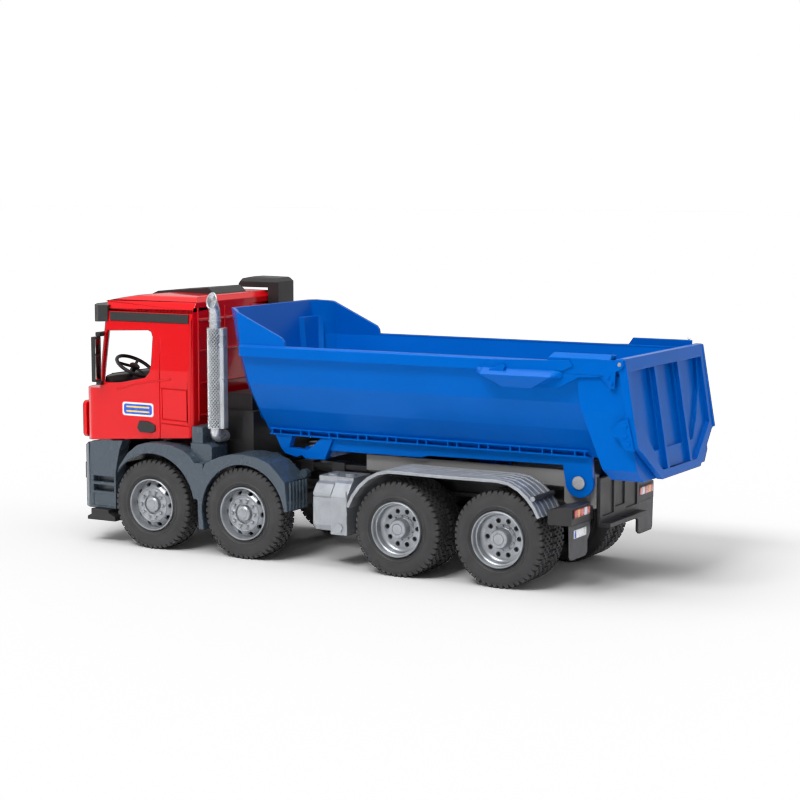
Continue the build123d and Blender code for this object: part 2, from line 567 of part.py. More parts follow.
def build_front():
    bar = side_prism([(246.4, 29), (246.4, 85.4), (250.0, 85.0), (262.0, 79.4), (262.0, 44), (258.5, 29)],
                     -71, 71)
    plan = [(246, -71.2), (250, -71.2), (256.5, -66.5), (261, -56), (262.2, -30)]
    plan += [(x, -y) for x, y in reversed(plan)]
    bar &= plan_prism(plan, 20, 95)
    bar -= box(249.0, 258.6, -38, 38, 70, 95)
    bar -= box(240, 249.2, -21.6, 21.6, 70, 95)
    for side in (1, -1):
        ear = box(250.0, 258.4, 16 * side, 21.6 * side, 66, 80) + rod_y(CAB_PIVOT_X, CAB_PIVOT_Z, 3.0,
                                                                        16 * side, 21.6 * side)
        outer = box(250.0, 258.4, 30.4 * side, 36 * side, 66, 80) + rod_y(CAB_PIVOT_X, CAB_PIVOT_Z, 3.0,
                                                                          30.4 * side, 36 * side)
        bar += ear + outer
        bar -= box(240, 263, 21.7 * side, 30.3 * side, 75, 95) & box(246, 260.5, 0, 60 * side, 75, 95)
    bar += box(238.4, 247, -33, 33, 62, 72)
    bar -= rod_y(CAB_PIVOT_X, CAB_PIVOT_Z, CAB_PIN_R, -60, 60)
    for z in (34, 40, 46):
        bar -= box(261, 263, -40, 40, z, z + 2.6)
    cheek = side_prism([(246.4, 29), (246.4, 86.2), (214.0, 88.4), (217.5, 80), (221.6, 62), (222.0, 29)],
                       58, 71.2)
    cheek -= box(223.5, 245.5, 64, 72, 51.5, 56.5)
    cheek -= box(223.5, 245.5, 64, 72, 43.5, 49.0)
    cheek -= box(223.5, 245.5, 70.4, 72, 31, 41.5)
    write("bumper", bar, *both(cheek))
    step = side_prism([(219.0, 19.5), (219.0, 23.0), (226, 26), (226, 28.8), (244, 28.8), (244, 24),
                       (248, 22), (248, 19.5)], 60, 76.5)
    step -= box(221.5, 245.5, 63, 74.5, 15, 22.3)
    write("front_steps", *both(step))


def build_front_mudguards():
    first = [(217.6, 46), (216.2, 56), (211.4, 68), (203.0, 79), (192.6, 86.8), (184.0, 89.4),
             (173.4, 90.2), (158, 89.0),
             (146, 85.6), (138, 80.5), (132.6, 74), (130.6, 66), (130.2, 46)]
    second = [(128.0, 46), (128.0, 66), (124.0, 76.0), (116.0, 80.0), (108.4, 83.0), (98.0, 85.6),
              (86.0, 86.2), (72.0, 84.6),
              (61.0, 80.6), (53.0, 73.6), (46.0, 66.0), (43.4, 42.4), (46.6, 42.4)]
    post = [(125.8, 21), (125.8, 76), (134.0, 76), (134.0, 50), (131.2, 44), (130.4, 21)]
    solid = side_prism(first, 48, GUARD_Y) + side_prism(second, 48, GUARD_Y) + side_prism(post, 48, GUARD_Y)
    solid += side_prism([(121, 74), (121, 89.0), (124.0, 91.4), (142.2, 91.4), (142.2, 74)], 50, 73)
    solid += box(131.5, 142.2, 50, 71, 91, 105)
    web_y = GUARD_Y - 2.4
    for x, roof, lip in ((178.0, 45.6, 43.4), (86.9, 42.4, 40.2)):
        solid -= rod_y(x, TYRE_R, roof, 40, web_y)
        solid -= rod_y(x, TYRE_R, lip, 40, 90)
    solid -= box(135, 222.6, 40, 90, 0, TYRE_R + 8)
    solid -= box(47.0, 125.6, 40, 90, 0, TYRE_R + 8)
    solid -= box(133.0, 135.2, 40, web_y, 0, 76)
    for k in range(6):
        y = 50.5 + 4.8 * k
        solid += box(42.4, 44.2, y, y + 1.6, 43.4, 66)
    solid += rod_y(47.6, 69.4, 3.6, 42, 49)
    for x, z in ((179.0, 84.4), (86.9, 80.6)):
        solid += box(x - 8, x + 8, RAIL_OUT + 0.2, 49, z, z + 2.4)
        solid += side_prism([(x - 3, RAIL_TOP - 6), (x - 6, z + 0.4), (x + 6, z + 0.4),
                             (x + 3, RAIL_TOP - 6)],
                            RAIL_OUT + 0.2, 37.5)
    return solid


def offset_line(points, distance):
    """An arch's outline moved along its normals, inward where distance is negative."""
    moved = []
    for k, (x, z) in enumerate(points):
        before = points[max(k - 1, 0)]
        after = points[min(k + 1, len(points) - 1)]
        dx, dz = after[0] - before[0], after[1] - before[1]
        length = hypot(dx, dz)
        moved.append((x + distance * dz / length, z + distance * abs(dx) / length))
    return moved


def build_rear_mudguards():
    arch = [(-14.6, 52.2), (-19.0, 61.0), (-25.4, 69.4), (-33.4, 76.4), (-42.0, 81.0), (-52.0, 83.2)]
    arch += [(-60.0, 83.4), (-98, 83.0), (-146, 83.2), (-156.0, 81.8), (-164.4, 77.8), (-171.6, 72.0)]
    arch += [(-177.6, 64.8), (-181.6, 57.4)]
    guard = side_prism(arch + list(reversed(offset_line(arch, -1.8))), 44.0, 83.4)
    rib = offset_line(arch, 0.9) + list(reversed(arch))
    for y in (44.2, 52.0, 59.8, 67.6, 75.4, 81.2):
        guard += side_prism(rib, y, y + 2.2)
    guard += rod_y(-175.6, 71.0, 2.0, 46, 82)
    for x in (-60, -144):
        guard += box(x - 6, x + 6, 39.6, 45, 80.0, 82.0)
    return guard


def build_guards():
    front = build_front_mudguards()
    write("front_mudguard_left", front)
    write("front_mudguard_right", mirrored(front))
    rear = build_rear_mudguards()
    write("rear_mudguard_left", rear)
    write("rear_mudguard_right", mirrored(rear))


def build_housing():
    block = box(99.0, 132.5, -44, 44, RAIL_TOP, 117)
    block += box(104, 129, -38, 38, 116.5, 131)
    block -= box(110, 128, 41.5, 45, 92, 112)
    block += box(126, 140, -68, -43.0, 106.2, 138.0)
    write("engine_housing", block)


def build_exhaust():
    x, y = 123.0, 64.0
    elbow_z = 201.0
    stack = rod_z(x, y, PIPE_R, 187, elbow_z) + rod_z(x, y, PIPE_R, 97, 104)
    stack += rod_z(x, y, SHIELD_R, 104, 187) + box(x - 9.0, x, y - SHIELD_R, y + 2, 104, 187)
    tilt = Pos(x, y, elbow_z) * Rot(-28, 0, 0)
    mouth = Pos(x, y, elbow_z) * Sphere(PIPE_R) + tilt * Pos(0, 0, 9) * Cylinder(PIPE_R, 18)
    mouth -= tilt * Pos(0, 0, 11) * Cylinder(PIPE_R - 0.9, 14)
    mouth -= front_prism([(73.8, 189.8), (62.8, 228.2), (92, 228), (92, 190)], x - 10, x + 10)
    stack += mouth
    stack += Pos(x, y, 97) * Sphere(PIPE_R) + rod_y(x, 97, PIPE_R, y - 14, y)
    stack += rod_z(x, y, PIPE_R + 0.6, 193, 194.6)
    write("exhaust", stack)


def build_tanks():
    first = front_prism([(46, 70), (62, 70), (70, 67), (75.6, 60), (75.6, 34.5), (71.5, 29.6), (46, 29.6)],
                        5.0, 21.4)
    first = first - box(4, 22, 74.6, 80, 56.6, 57.8)
    second = front_prism([(46, 71.5), (64, 71.5), (69, 68), (76.4, 58), (76.4, 27.6), (46, 27.6)], -10.5, 4.6)
    second += rod_y(-3.2, 33.6, 3.4, 76, 77.6)
    top = box(-10.5, 21.4, 39.2, 66, 66, 72.6)
    top += rod_z(12.5, 58, 4.6, 70, 74.0) + rod_z(-2.5, 56, 4.6, 70, 74.4)
    tank = first + second + top + box(-8, 18, RAIL_OUT, 47, 62, 70.3)
    write("tanks_left", tank)
    write("tanks_right", mirrored(tank))


def build_rear():
    plate = box(-211.4, -208.7, -38, 38, 47.5, 83.5)
    plate -= box(-212, -210.2, -34, -12, 54, 80) + box(-212, -210.2, 12, 34, 54, 80)
    plate -= box(-212, -210.2, -9, 9, 58, 80)
    tow = box(-219, -208.7, -36, 36, 46.0, 49.2)
    tow -= rod_z(-214.5, 0, TOW_HOLE_R, 40, 58)
    write("end_plate", plate + tow)
    bracket = side_prism([(-187, 52.5), (-187, 63.5), (-203.0, 67.0), (-206.4, 66.0), (-206.4, 52.5)], 44.6,
                         79.6)
    bracket += box(-206.0, -192, SUBFRAME_Y, 45.5, 52.5, 63)
    write("lamp_brackets", *both(bracket))
    lamp = box(-207.8, -206.4, 47.2, 76.6, 57.6, 64.8)
    write("tail_lamps", *both(lamp))
    flap = front_prism([(44.6, 52.3), (79.4, 52.3), (78.4, 29.0), (76.4, 26.6), (53.0, 26.6), (49.4, 29.0),
                        (49.4, 38), (44.6, 43)],
                       -206.2, -204.0)
    write("mud_flaps", *both(flap))


# ================= wheels =================
def tyre(x, y0, y1):
    """A tyre between two sidewall planes, bulging at mid height."""
    middle = (y0 + y1) / 2
    half = (y1 - y0) / 2
    tread = half - 2.4
    outline = [(RIM_R - 0.6, half - 3.4), (RIM_R + 0.3, half - 3.2), (RIM_R + 1.2, half - 0.6),
               (RIM_R + 6.0, half), (TYRE_R - 5.0, half - 0.4),
               (TYRE_R - 1.6, tread + 0.6), (TYRE_R, tread - 1.2)]
    outline = outline + [(r, -y) for r, y in reversed(outline)]
    return turned_y([(r, middle + y) for r, y in outline], x, TYRE_R)


def front_rim(x):
    lip = FRONT_LIP_Y
    outline = [(RIM_R, lip), (RIM_R - 1.2, lip), (RIM_R - 1.8, lip - 1.2), (RIM_R - 2.4, lip - 4.2)]
    outline += [(17.6, lip - 4.4), (13.0, lip - 3.6), (8.0, lip - 3.4), (7.0, lip - 0.8), (4.2, lip + 0.2)]
    outline += [(3.4, lip + 1.6), (0, lip + 2.0), (0, 77.0), (AXLE_R + RUNNING, 77.0)]
    outline += [(AXLE_R + RUNNING, 56.5), (7.5, 56.5), (7.5, lip - 6.4), (RIM_R - 4.6, lip - 7.0)]
    outline += [(RIM_R - 4.6, 58.6), (RIM_R, 58.6), (RIM_R, 60.5), (RIM_R - 0.7, 60.5)]
    outline += [(RIM_R - 0.7, lip - 2.4), (RIM_R, lip - 2.4)]
    rim = turned_y(outline, x, TYRE_R)
    for k in range(10):
        angle = 2 * pi * (k + 0.5) / 10
        cx, cz = x + 17.0 * cos(angle), TYRE_R + 17.0 * sin(angle)
        rim -= rod_y(cx, cz, 1.9, lip - 10, lip + 2)
        nx, nz = x + 10.6 * cos(angle + pi / 10), TYRE_R + 10.6 * sin(angle + pi / 10)
        rim += rod_y(nx, nz, 1.15, lip - 4.2, lip - 1.8)
    return rim


def rear_rim(x):
    lip = TWIN_LIP_Y
    face = lip - 11.5
    outline = [(RIM_R, lip), (RIM_R - 1.2, lip), (RIM_R - 1.8, lip - 1.2), (RIM_R - 2.4, lip - 4.0)]
    outline += [(RIM_R - 3.4, lip - 5.0), (RIM_R - 3.8, face), (8.2, face), (8.2, lip - 3.6)]
    outline += [(7.4, lip - 2.8), (0, lip - 2.8), (0, lip - 4.2), (AXLE_R + RUNNING, lip - 4.2)]
    outline += [(AXLE_R + RUNNING, 41.0), (7.0, 41.0), (7.0, face - 2.2), (RIM_R - 6.0, face - 2.2)]
    outline += [(RIM_R - 6.0, 42.0), (RIM_R, 42.0), (RIM_R, 43.0), (RIM_R - 0.7, 43.0)]
    outline += [(RIM_R - 0.7, lip - 2.4), (RIM_R, lip - 2.4)]
    rim = turned_y(outline, x, TYRE_R)
    for k in range(10):
        angle = 2 * pi * k / 10
        cx, cz = x + 13.4 * cos(angle), TYRE_R + 13.4 * sin(angle)
        rim -= rod_y(cx, cz, 2.1, face - 4, face + 1)
    return rim


def build_wheels():
    for name, x in AXLE_X.items():
        if name in FRONT_AXLES:
            rim = front_rim(x)
            tyres = [tyre(x, *FRONT_TYRE_Y)]
        else:
            rim = rear_rim(x)
            tyres = [tyre(x, *TWIN_OUTER_Y), tyre(x, *TWIN_INNER_Y)]
        write("rim_" + name + "_left", rim)
        write("rim_" + name + "_right", mirrored(rim))
        write("tyre_" + name + "_left", *tyres)
        write("tyre_" + name + "_right", *[mirrored(t) for t in tyres])


# ================= output =================
def largest(shape):
    return max(shape.solids(), key=lambda s: s.volume)


def write(node, *shapes):
    solids = []
    for shape in shapes:
        solids += list(shape.solids())
    target = solids[0] if len(solids) == 1 else Compound(children=solids)
    export_step(target, os.path.join("parts", node + ".step"))


def main():
    os.makedirs("parts", exist_ok=True)
    build_dump_body()
    build_tailgate()
    build_prop()
    build_cab()
    build_flap()
    build_mirrors()
    build_frame()
    build_axles()
    build_front()
    build_guards()
    build_housing()
    build_exhaust()
    build_tanks()
    build_rear()
    build_wheels()


main()
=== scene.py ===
"""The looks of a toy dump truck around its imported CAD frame.

The scene is in metres; the meshes are drawn in millimetres and scaled by make_mesh.
"""

import json

from math import atan2, cos, pi, radians, sin

import bmesh
import bpy
from mathutils import Matrix, Vector


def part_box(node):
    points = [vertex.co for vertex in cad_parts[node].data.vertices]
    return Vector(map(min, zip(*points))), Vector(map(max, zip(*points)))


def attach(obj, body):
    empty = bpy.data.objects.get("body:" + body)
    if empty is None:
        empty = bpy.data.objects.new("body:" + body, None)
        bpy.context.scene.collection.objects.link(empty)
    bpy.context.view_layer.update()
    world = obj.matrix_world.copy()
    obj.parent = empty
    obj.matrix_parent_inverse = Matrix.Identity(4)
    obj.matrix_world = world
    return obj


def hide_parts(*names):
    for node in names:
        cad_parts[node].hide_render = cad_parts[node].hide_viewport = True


MM = 0.001

# ---- camera: place and forward direction in metres ----
CAMERA_PLACE = (-0.8148, 1.4134, 0.3121)
CAMERA_FORWARD = (0.4891, -0.8650, -0.1122)
CAMERA_LENS_MM = 89.84
SENSOR_MM = 36.0

# ---- colours, linear RGB ----
CAB_RED = (0.60, 0.002, 0.005)
BODY_BLUE = (0.0, 0.094, 0.44)
SLATE = (0.043, 0.062, 0.082)
NEAR_BLACK = (0.016, 0.015, 0.016)
SILVER = (0.31, 0.325, 0.345)
BRIGHT_SILVER = (0.46, 0.48, 0.50)
MID_GREY = (0.20, 0.195, 0.19)
RUBBER = (0.0155, 0.0155, 0.0165)
STEEL = (0.36, 0.36, 0.37)
LENS_RED = (0.62, 0.012, 0.010)
LENS_AMBER = (0.90, 0.26, 0.02)
LENS_WHITE = (0.75, 0.76, 0.78)
STICKER_BLUE = (0.01, 0.09, 0.55)
STICKER_YELLOW = (0.90, 0.60, 0.03)

# ---- wheels, in millimetres ----
TREAD_LUGS = 46
TYRE_R = 37.5
TREAD_FLOOR_R = 35.8
TWIN_GAP = 1.0
HOLES = 10
HOLE_WALL = 2.4
NUTS = 10
FRONT_HUB_PROUD = 2.0
RIM_SEGMENTS = 60
WELD_DISTANCE = 0.005
TYRE_SHARP = 32
RIM_SHARP = 30
WHEEL_NAMES = ("1", "2", "3", "4")
FRONT_WHEELS = ("1", "2")
SIDES = (("left", 1), ("right", -1))

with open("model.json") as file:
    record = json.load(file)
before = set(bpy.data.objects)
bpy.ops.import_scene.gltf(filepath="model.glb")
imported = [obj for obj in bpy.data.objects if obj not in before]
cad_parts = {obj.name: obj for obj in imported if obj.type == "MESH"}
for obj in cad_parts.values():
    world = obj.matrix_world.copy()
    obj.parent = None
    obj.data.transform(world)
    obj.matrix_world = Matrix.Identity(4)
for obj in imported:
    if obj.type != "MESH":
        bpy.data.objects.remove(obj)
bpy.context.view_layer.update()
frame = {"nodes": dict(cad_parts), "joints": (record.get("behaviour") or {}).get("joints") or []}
NODES = frame["nodes"]
JOINTS = {joint["name"]: joint for joint in frame["joints"]}


# ================= materials =================
def add_node(tree, kind, **settings):
    made = tree.nodes.new(kind)
    for name, value in settings.items():
        setattr(made, name, value)
    return made


def noise(tree, place, scale, detail=3.0, distortion=0.0):
    made = add_node(tree, "ShaderNodeTexNoise")
    made.inputs["Scale"].default_value = scale
    made.inputs["Detail"].default_value = detail
    made.inputs["Distortion"].default_value = distortion
    tree.links.new(place, made.inputs["Vector"])
    return made.outputs["Fac"]


def span(tree, value, low, high, from_low=0.3, from_high=0.7):
    """A value from a texture, spread over a new range."""
    made = add_node(tree, "ShaderNodeMapRange")
    made.inputs["From Min"].default_value = from_low
    made.inputs["From Max"].default_value = from_high
    made.inputs["To Min"].default_value = low
    made.inputs["To Max"].default_value = high
    tree.links.new(value, made.inputs["Value"])
    return made.outputs["Result"]


def blend_colour(tree, factor, first, second):
    """A mix of two colours, each a plain colour or another node's output."""
    made = add_node(tree, "ShaderNodeMix", data_type="RGBA")
    tree.links.new(factor, made.inputs["Factor"])
    for name, colour in (("A", first), ("B", second)):
        socket = next(s for s in made.inputs if s.name == name and s.type == "RGBA")
        if isinstance(colour, tuple):
            socket.default_value = (*colour, 1.0)
        else:
            tree.links.new(colour, socket)
    return next(s for s in made.outputs if s.type == "RGBA")


def bump(tree, height, distance, strength, below=None):
    made = add_node(tree, "ShaderNodeBump")
    made.inputs["Distance"].default_value = distance
    made.inputs["Strength"].default_value = strength
    tree.links.new(height, made.inputs["Height"])
    if below is not None:
        tree.links.new(below, made.inputs["Normal"])
    return made.outputs["Normal"]


def shade(colour, factor):
    return tuple(min(1.0, c * factor) for c in colour)


def blank_material(name):
    made = bpy.data.materials.new(name)
    made.use_nodes = True
    tree = made.node_tree
    shader = tree.nodes["Principled BSDF"]
    place = add_node(tree, "ShaderNodeTexCoord").outputs["Object"]
    return made, tree, shader, place


def plastic(name, colour, roughness, grain=0.3, mottle=0.05, gloss=0.4, scuffs=0.25,
            tint=(1.0, 1.0, 1.0), coat=0.0):
    """Moulded plastic: cloudy colour, fine tool grain, hairline scuffs and uneven gloss."""
    made, tree, shader, place = blank_material(name)
    cloud = noise(tree, place, 18, 4.0)
    base = blend_colour(tree, span(tree, cloud, 0, 1), shade(colour, 1 - mottle), shade(colour, 1 + mottle))
    stretch = add_node(tree, "ShaderNodeMapping")
    stretch.inputs["Scale"].default_value = (0.35, 1.0, 6.0)
    tree.links.new(place, stretch.inputs["Vector"])
    hairs = noise(tree, stretch.outputs["Vector"], 420, 2.0, 0.8)
    worn = span(tree, hairs, 0, scuffs, 0.66, 0.76)
    pale = tuple(c * 1.3 + 0.004 for c in colour)
    base = blend_colour(tree, worn, base, pale)
    tree.links.new(base, shader.inputs["Base Color"])
    smear = noise(tree, place, 55, 3.0, 1.2)
    rough = span(tree, smear, roughness * 0.9, roughness * 1.1)
    tree.links.new(rough, shader.inputs["Roughness"])
    wave = bump(tree, noise(tree, place, 22, 1.0), 0.4 * MM, 0.02)
    fine = bump(tree, noise(tree, place, 2400, 2.0), 0.05 * MM, grain, wave)
    tree.links.new(fine, shader.inputs["Normal"])
    shader.inputs["Specular IOR Level"].default_value = gloss
    shader.inputs["Specular Tint"].default_value = (*tint, 1.0)
    shader.inputs["Coat Weight"].default_value = coat
    shader.inputs["Coat Roughness"].default_value = 0.06
    return made


def silver_plastic(name, colour, roughness):
    """Plastic with a fine metal pigment, a little swirled by the moulding flow."""
    made, tree, shader, place = blank_material(name)
    flow = noise(tree, place, 30, 3.0, 2.5)
    base = blend_colour(tree, span(tree, flow, 0, 1), shade(colour, 0.88), shade(colour, 1.12))
    flake = add_node(tree, "ShaderNodeTexVoronoi")
    flake.inputs["Scale"].default_value = 2600
    tree.links.new(place, flake.inputs["Vector"])
    bright = span(tree, flake.outputs["Distance"], 0.5, 0.0, 0.0, 0.35)
    base = blend_colour(tree, bright, base, shade(colour, 1.5))
    tree.links.new(base, shader.inputs["Base Color"])
    rough = span(tree, noise(tree, place, 70, 3.0, 1.0), roughness * 0.8, roughness * 1.25)
    tree.links.new(rough, shader.inputs["Roughness"])
    fine = bump(tree, noise(tree, place, 1800, 2.0), 0.06 * MM, 0.3)
    tree.links.new(fine, shader.inputs["Normal"])
    shader.inputs["Metallic"].default_value = 0.6
    return made


def rubber(name, colour, roughness):
    """Soft vinyl rubber: dusty grey bloom in broad patches over a fine pebble."""
    made, tree, shader, place = blank_material(name)
    bloom = span(tree, noise(tree, place, 60, 5.0, 0.6), 0.0, 0.5, 0.42, 0.75)
    base = blend_colour(tree, bloom, colour, tuple(c * 1.8 + 0.008 for c in colour))
    speck = span(tree, noise(tree, place, 900, 2.0), 0.0, 0.16, 0.62, 0.75)
    base = blend_colour(tree, speck, base, (0.11, 0.105, 0.10))
    tree.links.new(base, shader.inputs["Base Color"])
    rough = span(tree, noise(tree, place, 90, 3.0), roughness * 0.85, roughness * 1.12)
    tree.links.new(rough, shader.inputs["Roughness"])
    pebble = bump(tree, noise(tree, place, 1500, 3.0), 0.08 * MM, 0.45)
    tree.links.new(pebble, shader.inputs["Normal"])
    shader.inputs["Sheen Weight"].default_value = 0.05
    return made


def steel(name, colour, roughness):
    """Turned steel: fine rings of tool marks."""
    made, tree, shader, place = blank_material(name)
    stretch = add_node(tree, "ShaderNodeMapping")
    stretch.inputs["Scale"].default_value = (1.0, 14.0, 1.0)
    tree.links.new(place, stretch.inputs["Vector"])
    marks = noise(tree, stretch.outputs["Vector"], 700, 3.0)
    base = blend_colour(tree, span(tree, marks, 0, 1), shade(colour, 0.8), shade(colour, 1.1))
    tree.links.new(base, shader.inputs["Base Color"])
    rough = span(tree, marks, roughness * 0.8, roughness * 1.3)
    tree.links.new(rough, shader.inputs["Roughness"])
    tree.links.new(bump(tree, marks, 0.04 * MM, 0.4), shader.inputs["Normal"])
    shader.inputs["Metallic"].default_value = 1.0
    return made


def lens(name, colour, roughness=0.12, pitch=1.1):
    """Coloured lamp plastic with upright prism ribs behind a clear gloss; the ribs are painted darker in
    their grooves and lighter on their crests as shade and highlight.
    """
    made, tree, shader, place = blank_material(name)
    ribs = add_node(tree, "ShaderNodeTexWave", bands_direction="Y")
    ribs.inputs["Scale"].default_value = 2 * pi / (20 * pitch * MM)
    ribs.inputs["Distortion"].default_value = 0.0
    tree.links.new(place, ribs.inputs["Vector"])
    cloud = noise(tree, place, 120, 2.0)
    # The colour follows the rib height, darker in the grooves and lighter on the crests: painted shade and
    # highlight.
    base = blend_colour(tree, ribs.outputs["Fac"], shade(colour, 0.72), shade(colour, 1.1))
    base = blend_colour(tree, span(tree, cloud, 0, 0.25), base, shade(colour, 1.3))
    tree.links.new(base, shader.inputs["Base Color"])
    rough = span(tree, noise(tree, place, 200, 2.0), roughness * 0.8, roughness * 1.4)
    tree.links.new(rough, shader.inputs["Roughness"])
    tree.links.new(bump(tree, ribs.outputs["Fac"], 0.15 * MM, 0.5), shader.inputs["Normal"])
    shader.inputs["Coat Weight"].default_value = 0.8
    shader.inputs["Coat Roughness"].default_value = 0.05
    return made


def mirror_glass(name):
    made, tree, shader, place = blank_material(name)
    smear = noise(tree, place, 90, 4.0, 1.5)
    base = blend_colour(tree, span(tree, smear, 0, 1), (0.62, 0.65, 0.68), (0.78, 0.80, 0.82))
    tree.links.new(base, shader.inputs["Base Color"])
    tree.links.new(span(tree, smear, 0.04, 0.16), shader.inputs["Roughness"])
    shader.inputs["Metallic"].default_value = 1.0
    return made


def printed_film(name, colour):
    """A printed sticker: ink with a faint dot screen under a gloss film."""
    made, tree, shader, place = blank_material(name)
    dots = add_node(tree, "ShaderNodeTexVoronoi")
    dots.inputs["Scale"].default_value = 1500
    tree.links.new(place, dots.inputs["Vector"])
    ink = span(tree, dots.outputs["Distance"], 0, 0.5, 0.1, 0.6)
    base = blend_colour(tree, ink, colour, shade(colour, 0.9))
    tree.links.new(base, shader.inputs["Base Color"])
    rough = span(tree, noise(tree, place, 150, 2.0), 0.22, 0.34)
    tree.links.new(rough, shader.inputs["Roughness"])
    tree.links.new(bump(tree, noise(tree, place, 350, 2.0), 0.04 * MM, 0.2), shader.inputs["Normal"])
    return made


def floor_paper(name):
    made, tree, shader, place = blank_material(name)
    cloud = noise(tree, place, 3, 2.0)
    base = blend_colour(tree, span(tree, cloud, 0, 1), (0.90, 0.90, 0.905), (0.93, 0.93, 0.935))
    tree.links.new(base, shader.inputs["Base Color"])
    shader.inputs["Roughness"].default_value = 0.7
    shader.inputs["Specular IOR Level"].default_value = 0.2
    return made


MATERIALS = {
    "cab_red": plastic("cab red plastic", CAB_RED, 0.15, grain=0.06, mottle=0.03, gloss=0.5,
                       scuffs=0.02, tint=(1.0, 0.30, 0.32), coat=0.25),
    "body_blue": plastic("body blue plastic", BODY_BLUE, 0.24, grain=0.08, mottle=0.04, gloss=0.35,
                         scuffs=0.02, tint=(0.0, 0.45, 1.0)),
    "slate": plastic("slate plastic", SLATE, 0.27, grain=0.25, mottle=0.07, gloss=0.5, scuffs=0.1),
    "black": plastic("black plastic", NEAR_BLACK, 0.42, grain=0.7, mottle=0.12, scuffs=0.18),
    "grey": plastic("grey plastic", MID_GREY, 0.45, grain=0.6, mottle=0.06, scuffs=0.12),
    "silver": silver_plastic("silver plastic", SILVER, 0.36),
    "bright_silver": silver_plastic("bright silver plastic", BRIGHT_SILVER, 0.3),
    # A darker copy of the silver for the bottoms of the exhaust shield's hollows: painted shade.
    "hollow_painted_shade": silver_plastic("painted shade silver plastic", shade(SILVER, 0.32), 0.5),
    "tyre": rubber("tyre rubber", RUBBER, 0.62),
    "flap": rubber("flap rubber", (0.034, 0.034, 0.036), 0.5),
    "steel": steel("turned steel", STEEL, 0.32),
    "lens_red": lens("red lens", LENS_RED),
    "lens_amber": lens("amber lens", LENS_AMBER),
    "lens_white": lens("white lens", LENS_WHITE),
    "mirror": mirror_glass("mirror glass"),
    "white_film": printed_film("white film", (0.80, 0.80, 0.79)),
    "blue_film": printed_film("blue film", STICKER_BLUE),
    "yellow_film": printed_film("yellow film", STICKER_YELLOW),
    "floor": floor_paper("floor paper"),
}


# ================= mesh tools, in millimetres =================
def turned(bm, profile, start=(0, 0, 0), direction=(0, 1, 0), segments=48, material=0):
    """A (radius, height) outline turned about the line from start along direction."""
    turn = Vector((0, 0, 1)).rotation_difference(Vector(direction)).to_matrix()
    loops = []
    for radius, height in profile:
        count = 1 if radius < 0.001 else segments
        loop = []
        for k in range(count):
            angle = 2 * pi * k / segments
            point = Vector((radius * cos(angle), radius * sin(angle), height))
            loop.append(bm.verts.new(Vector(start) + turn @ point))
        loops.append(loop)
    for low, high in zip(loops, loops[1:]):
        join_loops(bm, low, high, segments, material)
    return loops


def join_loops(bm, low, high, segments, material=0):
    for k in range(segments):
        after = (k + 1) % segments
        corners = [low[k % len(low)], low[after % len(low)]]
        corners += [high[after % len(high)], high[k % len(high)]]
        unique = list(dict.fromkeys(corners))
        if len(unique) > 2:
            bm.faces.new(unique).material_index = material


def hexahedron(bm, corners):
    """Eight corners: four round one end, then the four that match them round the other."""
    v = [bm.verts.new(c) for c in corners]
    bm.faces.new((v[3], v[2], v[1], v[0]))
    bm.faces.new((v[4], v[5], v[6], v[7]))
    for k in range(4):
        after = (k + 1) % 4
        bm.faces.new((v[k], v[after], v[after + 4], v[k + 4]))


def block(bm, low, high, edge, material=0, matrix=None):
    """A box with rounded edges."""
    part = bmesh.new()
    bmesh.ops.create_cube(part, size=1)
    low, high = Vector(low), Vector(high)
    bmesh.ops.scale(part, vec=high - low, verts=part.verts)
    bmesh.ops.translate(part, vec=(high + low) / 2, verts=part.verts)
    bmesh.ops.bevel(part, geom=part.edges[:], offset=edge, segments=2, profile=0.6, affect="EDGES")
    if matrix is not None:
        bmesh.ops.transform(part, matrix=matrix, verts=part.verts)
    merge(bm, part, material)


def merge(bm, part, material):
    """Moves every face of part into bm."""
    copies = {v: bm.verts.new(v.co) for v in part.verts}
    for face in part.faces:
        bm.faces.new([copies[v] for v in face.verts]).material_index = material
    part.free()


def prism(bm, outline, low, high, plane, material=0):
    """An outline in the xz, yz or xy plane, given thickness from low to high."""
    part = bmesh.new()
    third = {"xz": 1, "yz": 0, "xy": 2}[plane]
    verts = []
    for a, b in outline:
        point = [a, b]
        point.insert(third, low)
        verts.append(part.verts.new(point))
    face = part.faces.new(verts)
    grown = bmesh.ops.extrude_face_region(part, geom=[face])["geom"]
    shift = [0.0, 0.0, 0.0]
    shift[third] = high - low
    grown_verts = [g for g in grown if isinstance(g, bmesh.types.BMVert)]
    bmesh.ops.translate(part, vec=shift, verts=grown_verts)
    merge(bm, part, material)


def tube(bm, points, radius, segments, closed=False):
    """A round tube along a line of points."""
    points = [Vector(p) for p in points]
    count = len(points)
    side = None
    loops = []
    for k, point in enumerate(points):
        before = points[k - 1] if closed or k else point
        after = points[(k + 1) % count] if closed or k < count - 1 else point
        along = (after - before).normalized()
        if side is None:
            side = along.orthogonal().normalized()
        side = (side - along * side.dot(along)).normalized()
        other = along.cross(side)
        loop = []
        for s in range(segments):
            angle = 2 * pi * s / segments
            loop.append(bm.verts.new(point + (side * cos(angle) + other * sin(angle)) * radius))
        loops.append(loop)
    pairs = list(zip(loops, loops[1:]))
    if closed:
        pairs.append((loops[-1], loops[0]))
    for low, high in pairs:
        join_loops(bm, low, high, segments)
    return loops


def mirror_y(bm):
    """Adds the mirror image across the truck's middle plane."""
    part = bm.copy()
    bmesh.ops.scale(part, vec=(1, -1, 1), verts=part.verts)
    bmesh.ops.reverse_faces(part, faces=part.faces)
    copies = {v: bm.verts.new(v.co) for v in part.verts}
    for face in part.faces:
        bm.faces.new([copies[v] for v in face.verts]).material_index = face.material_index
    part.free()


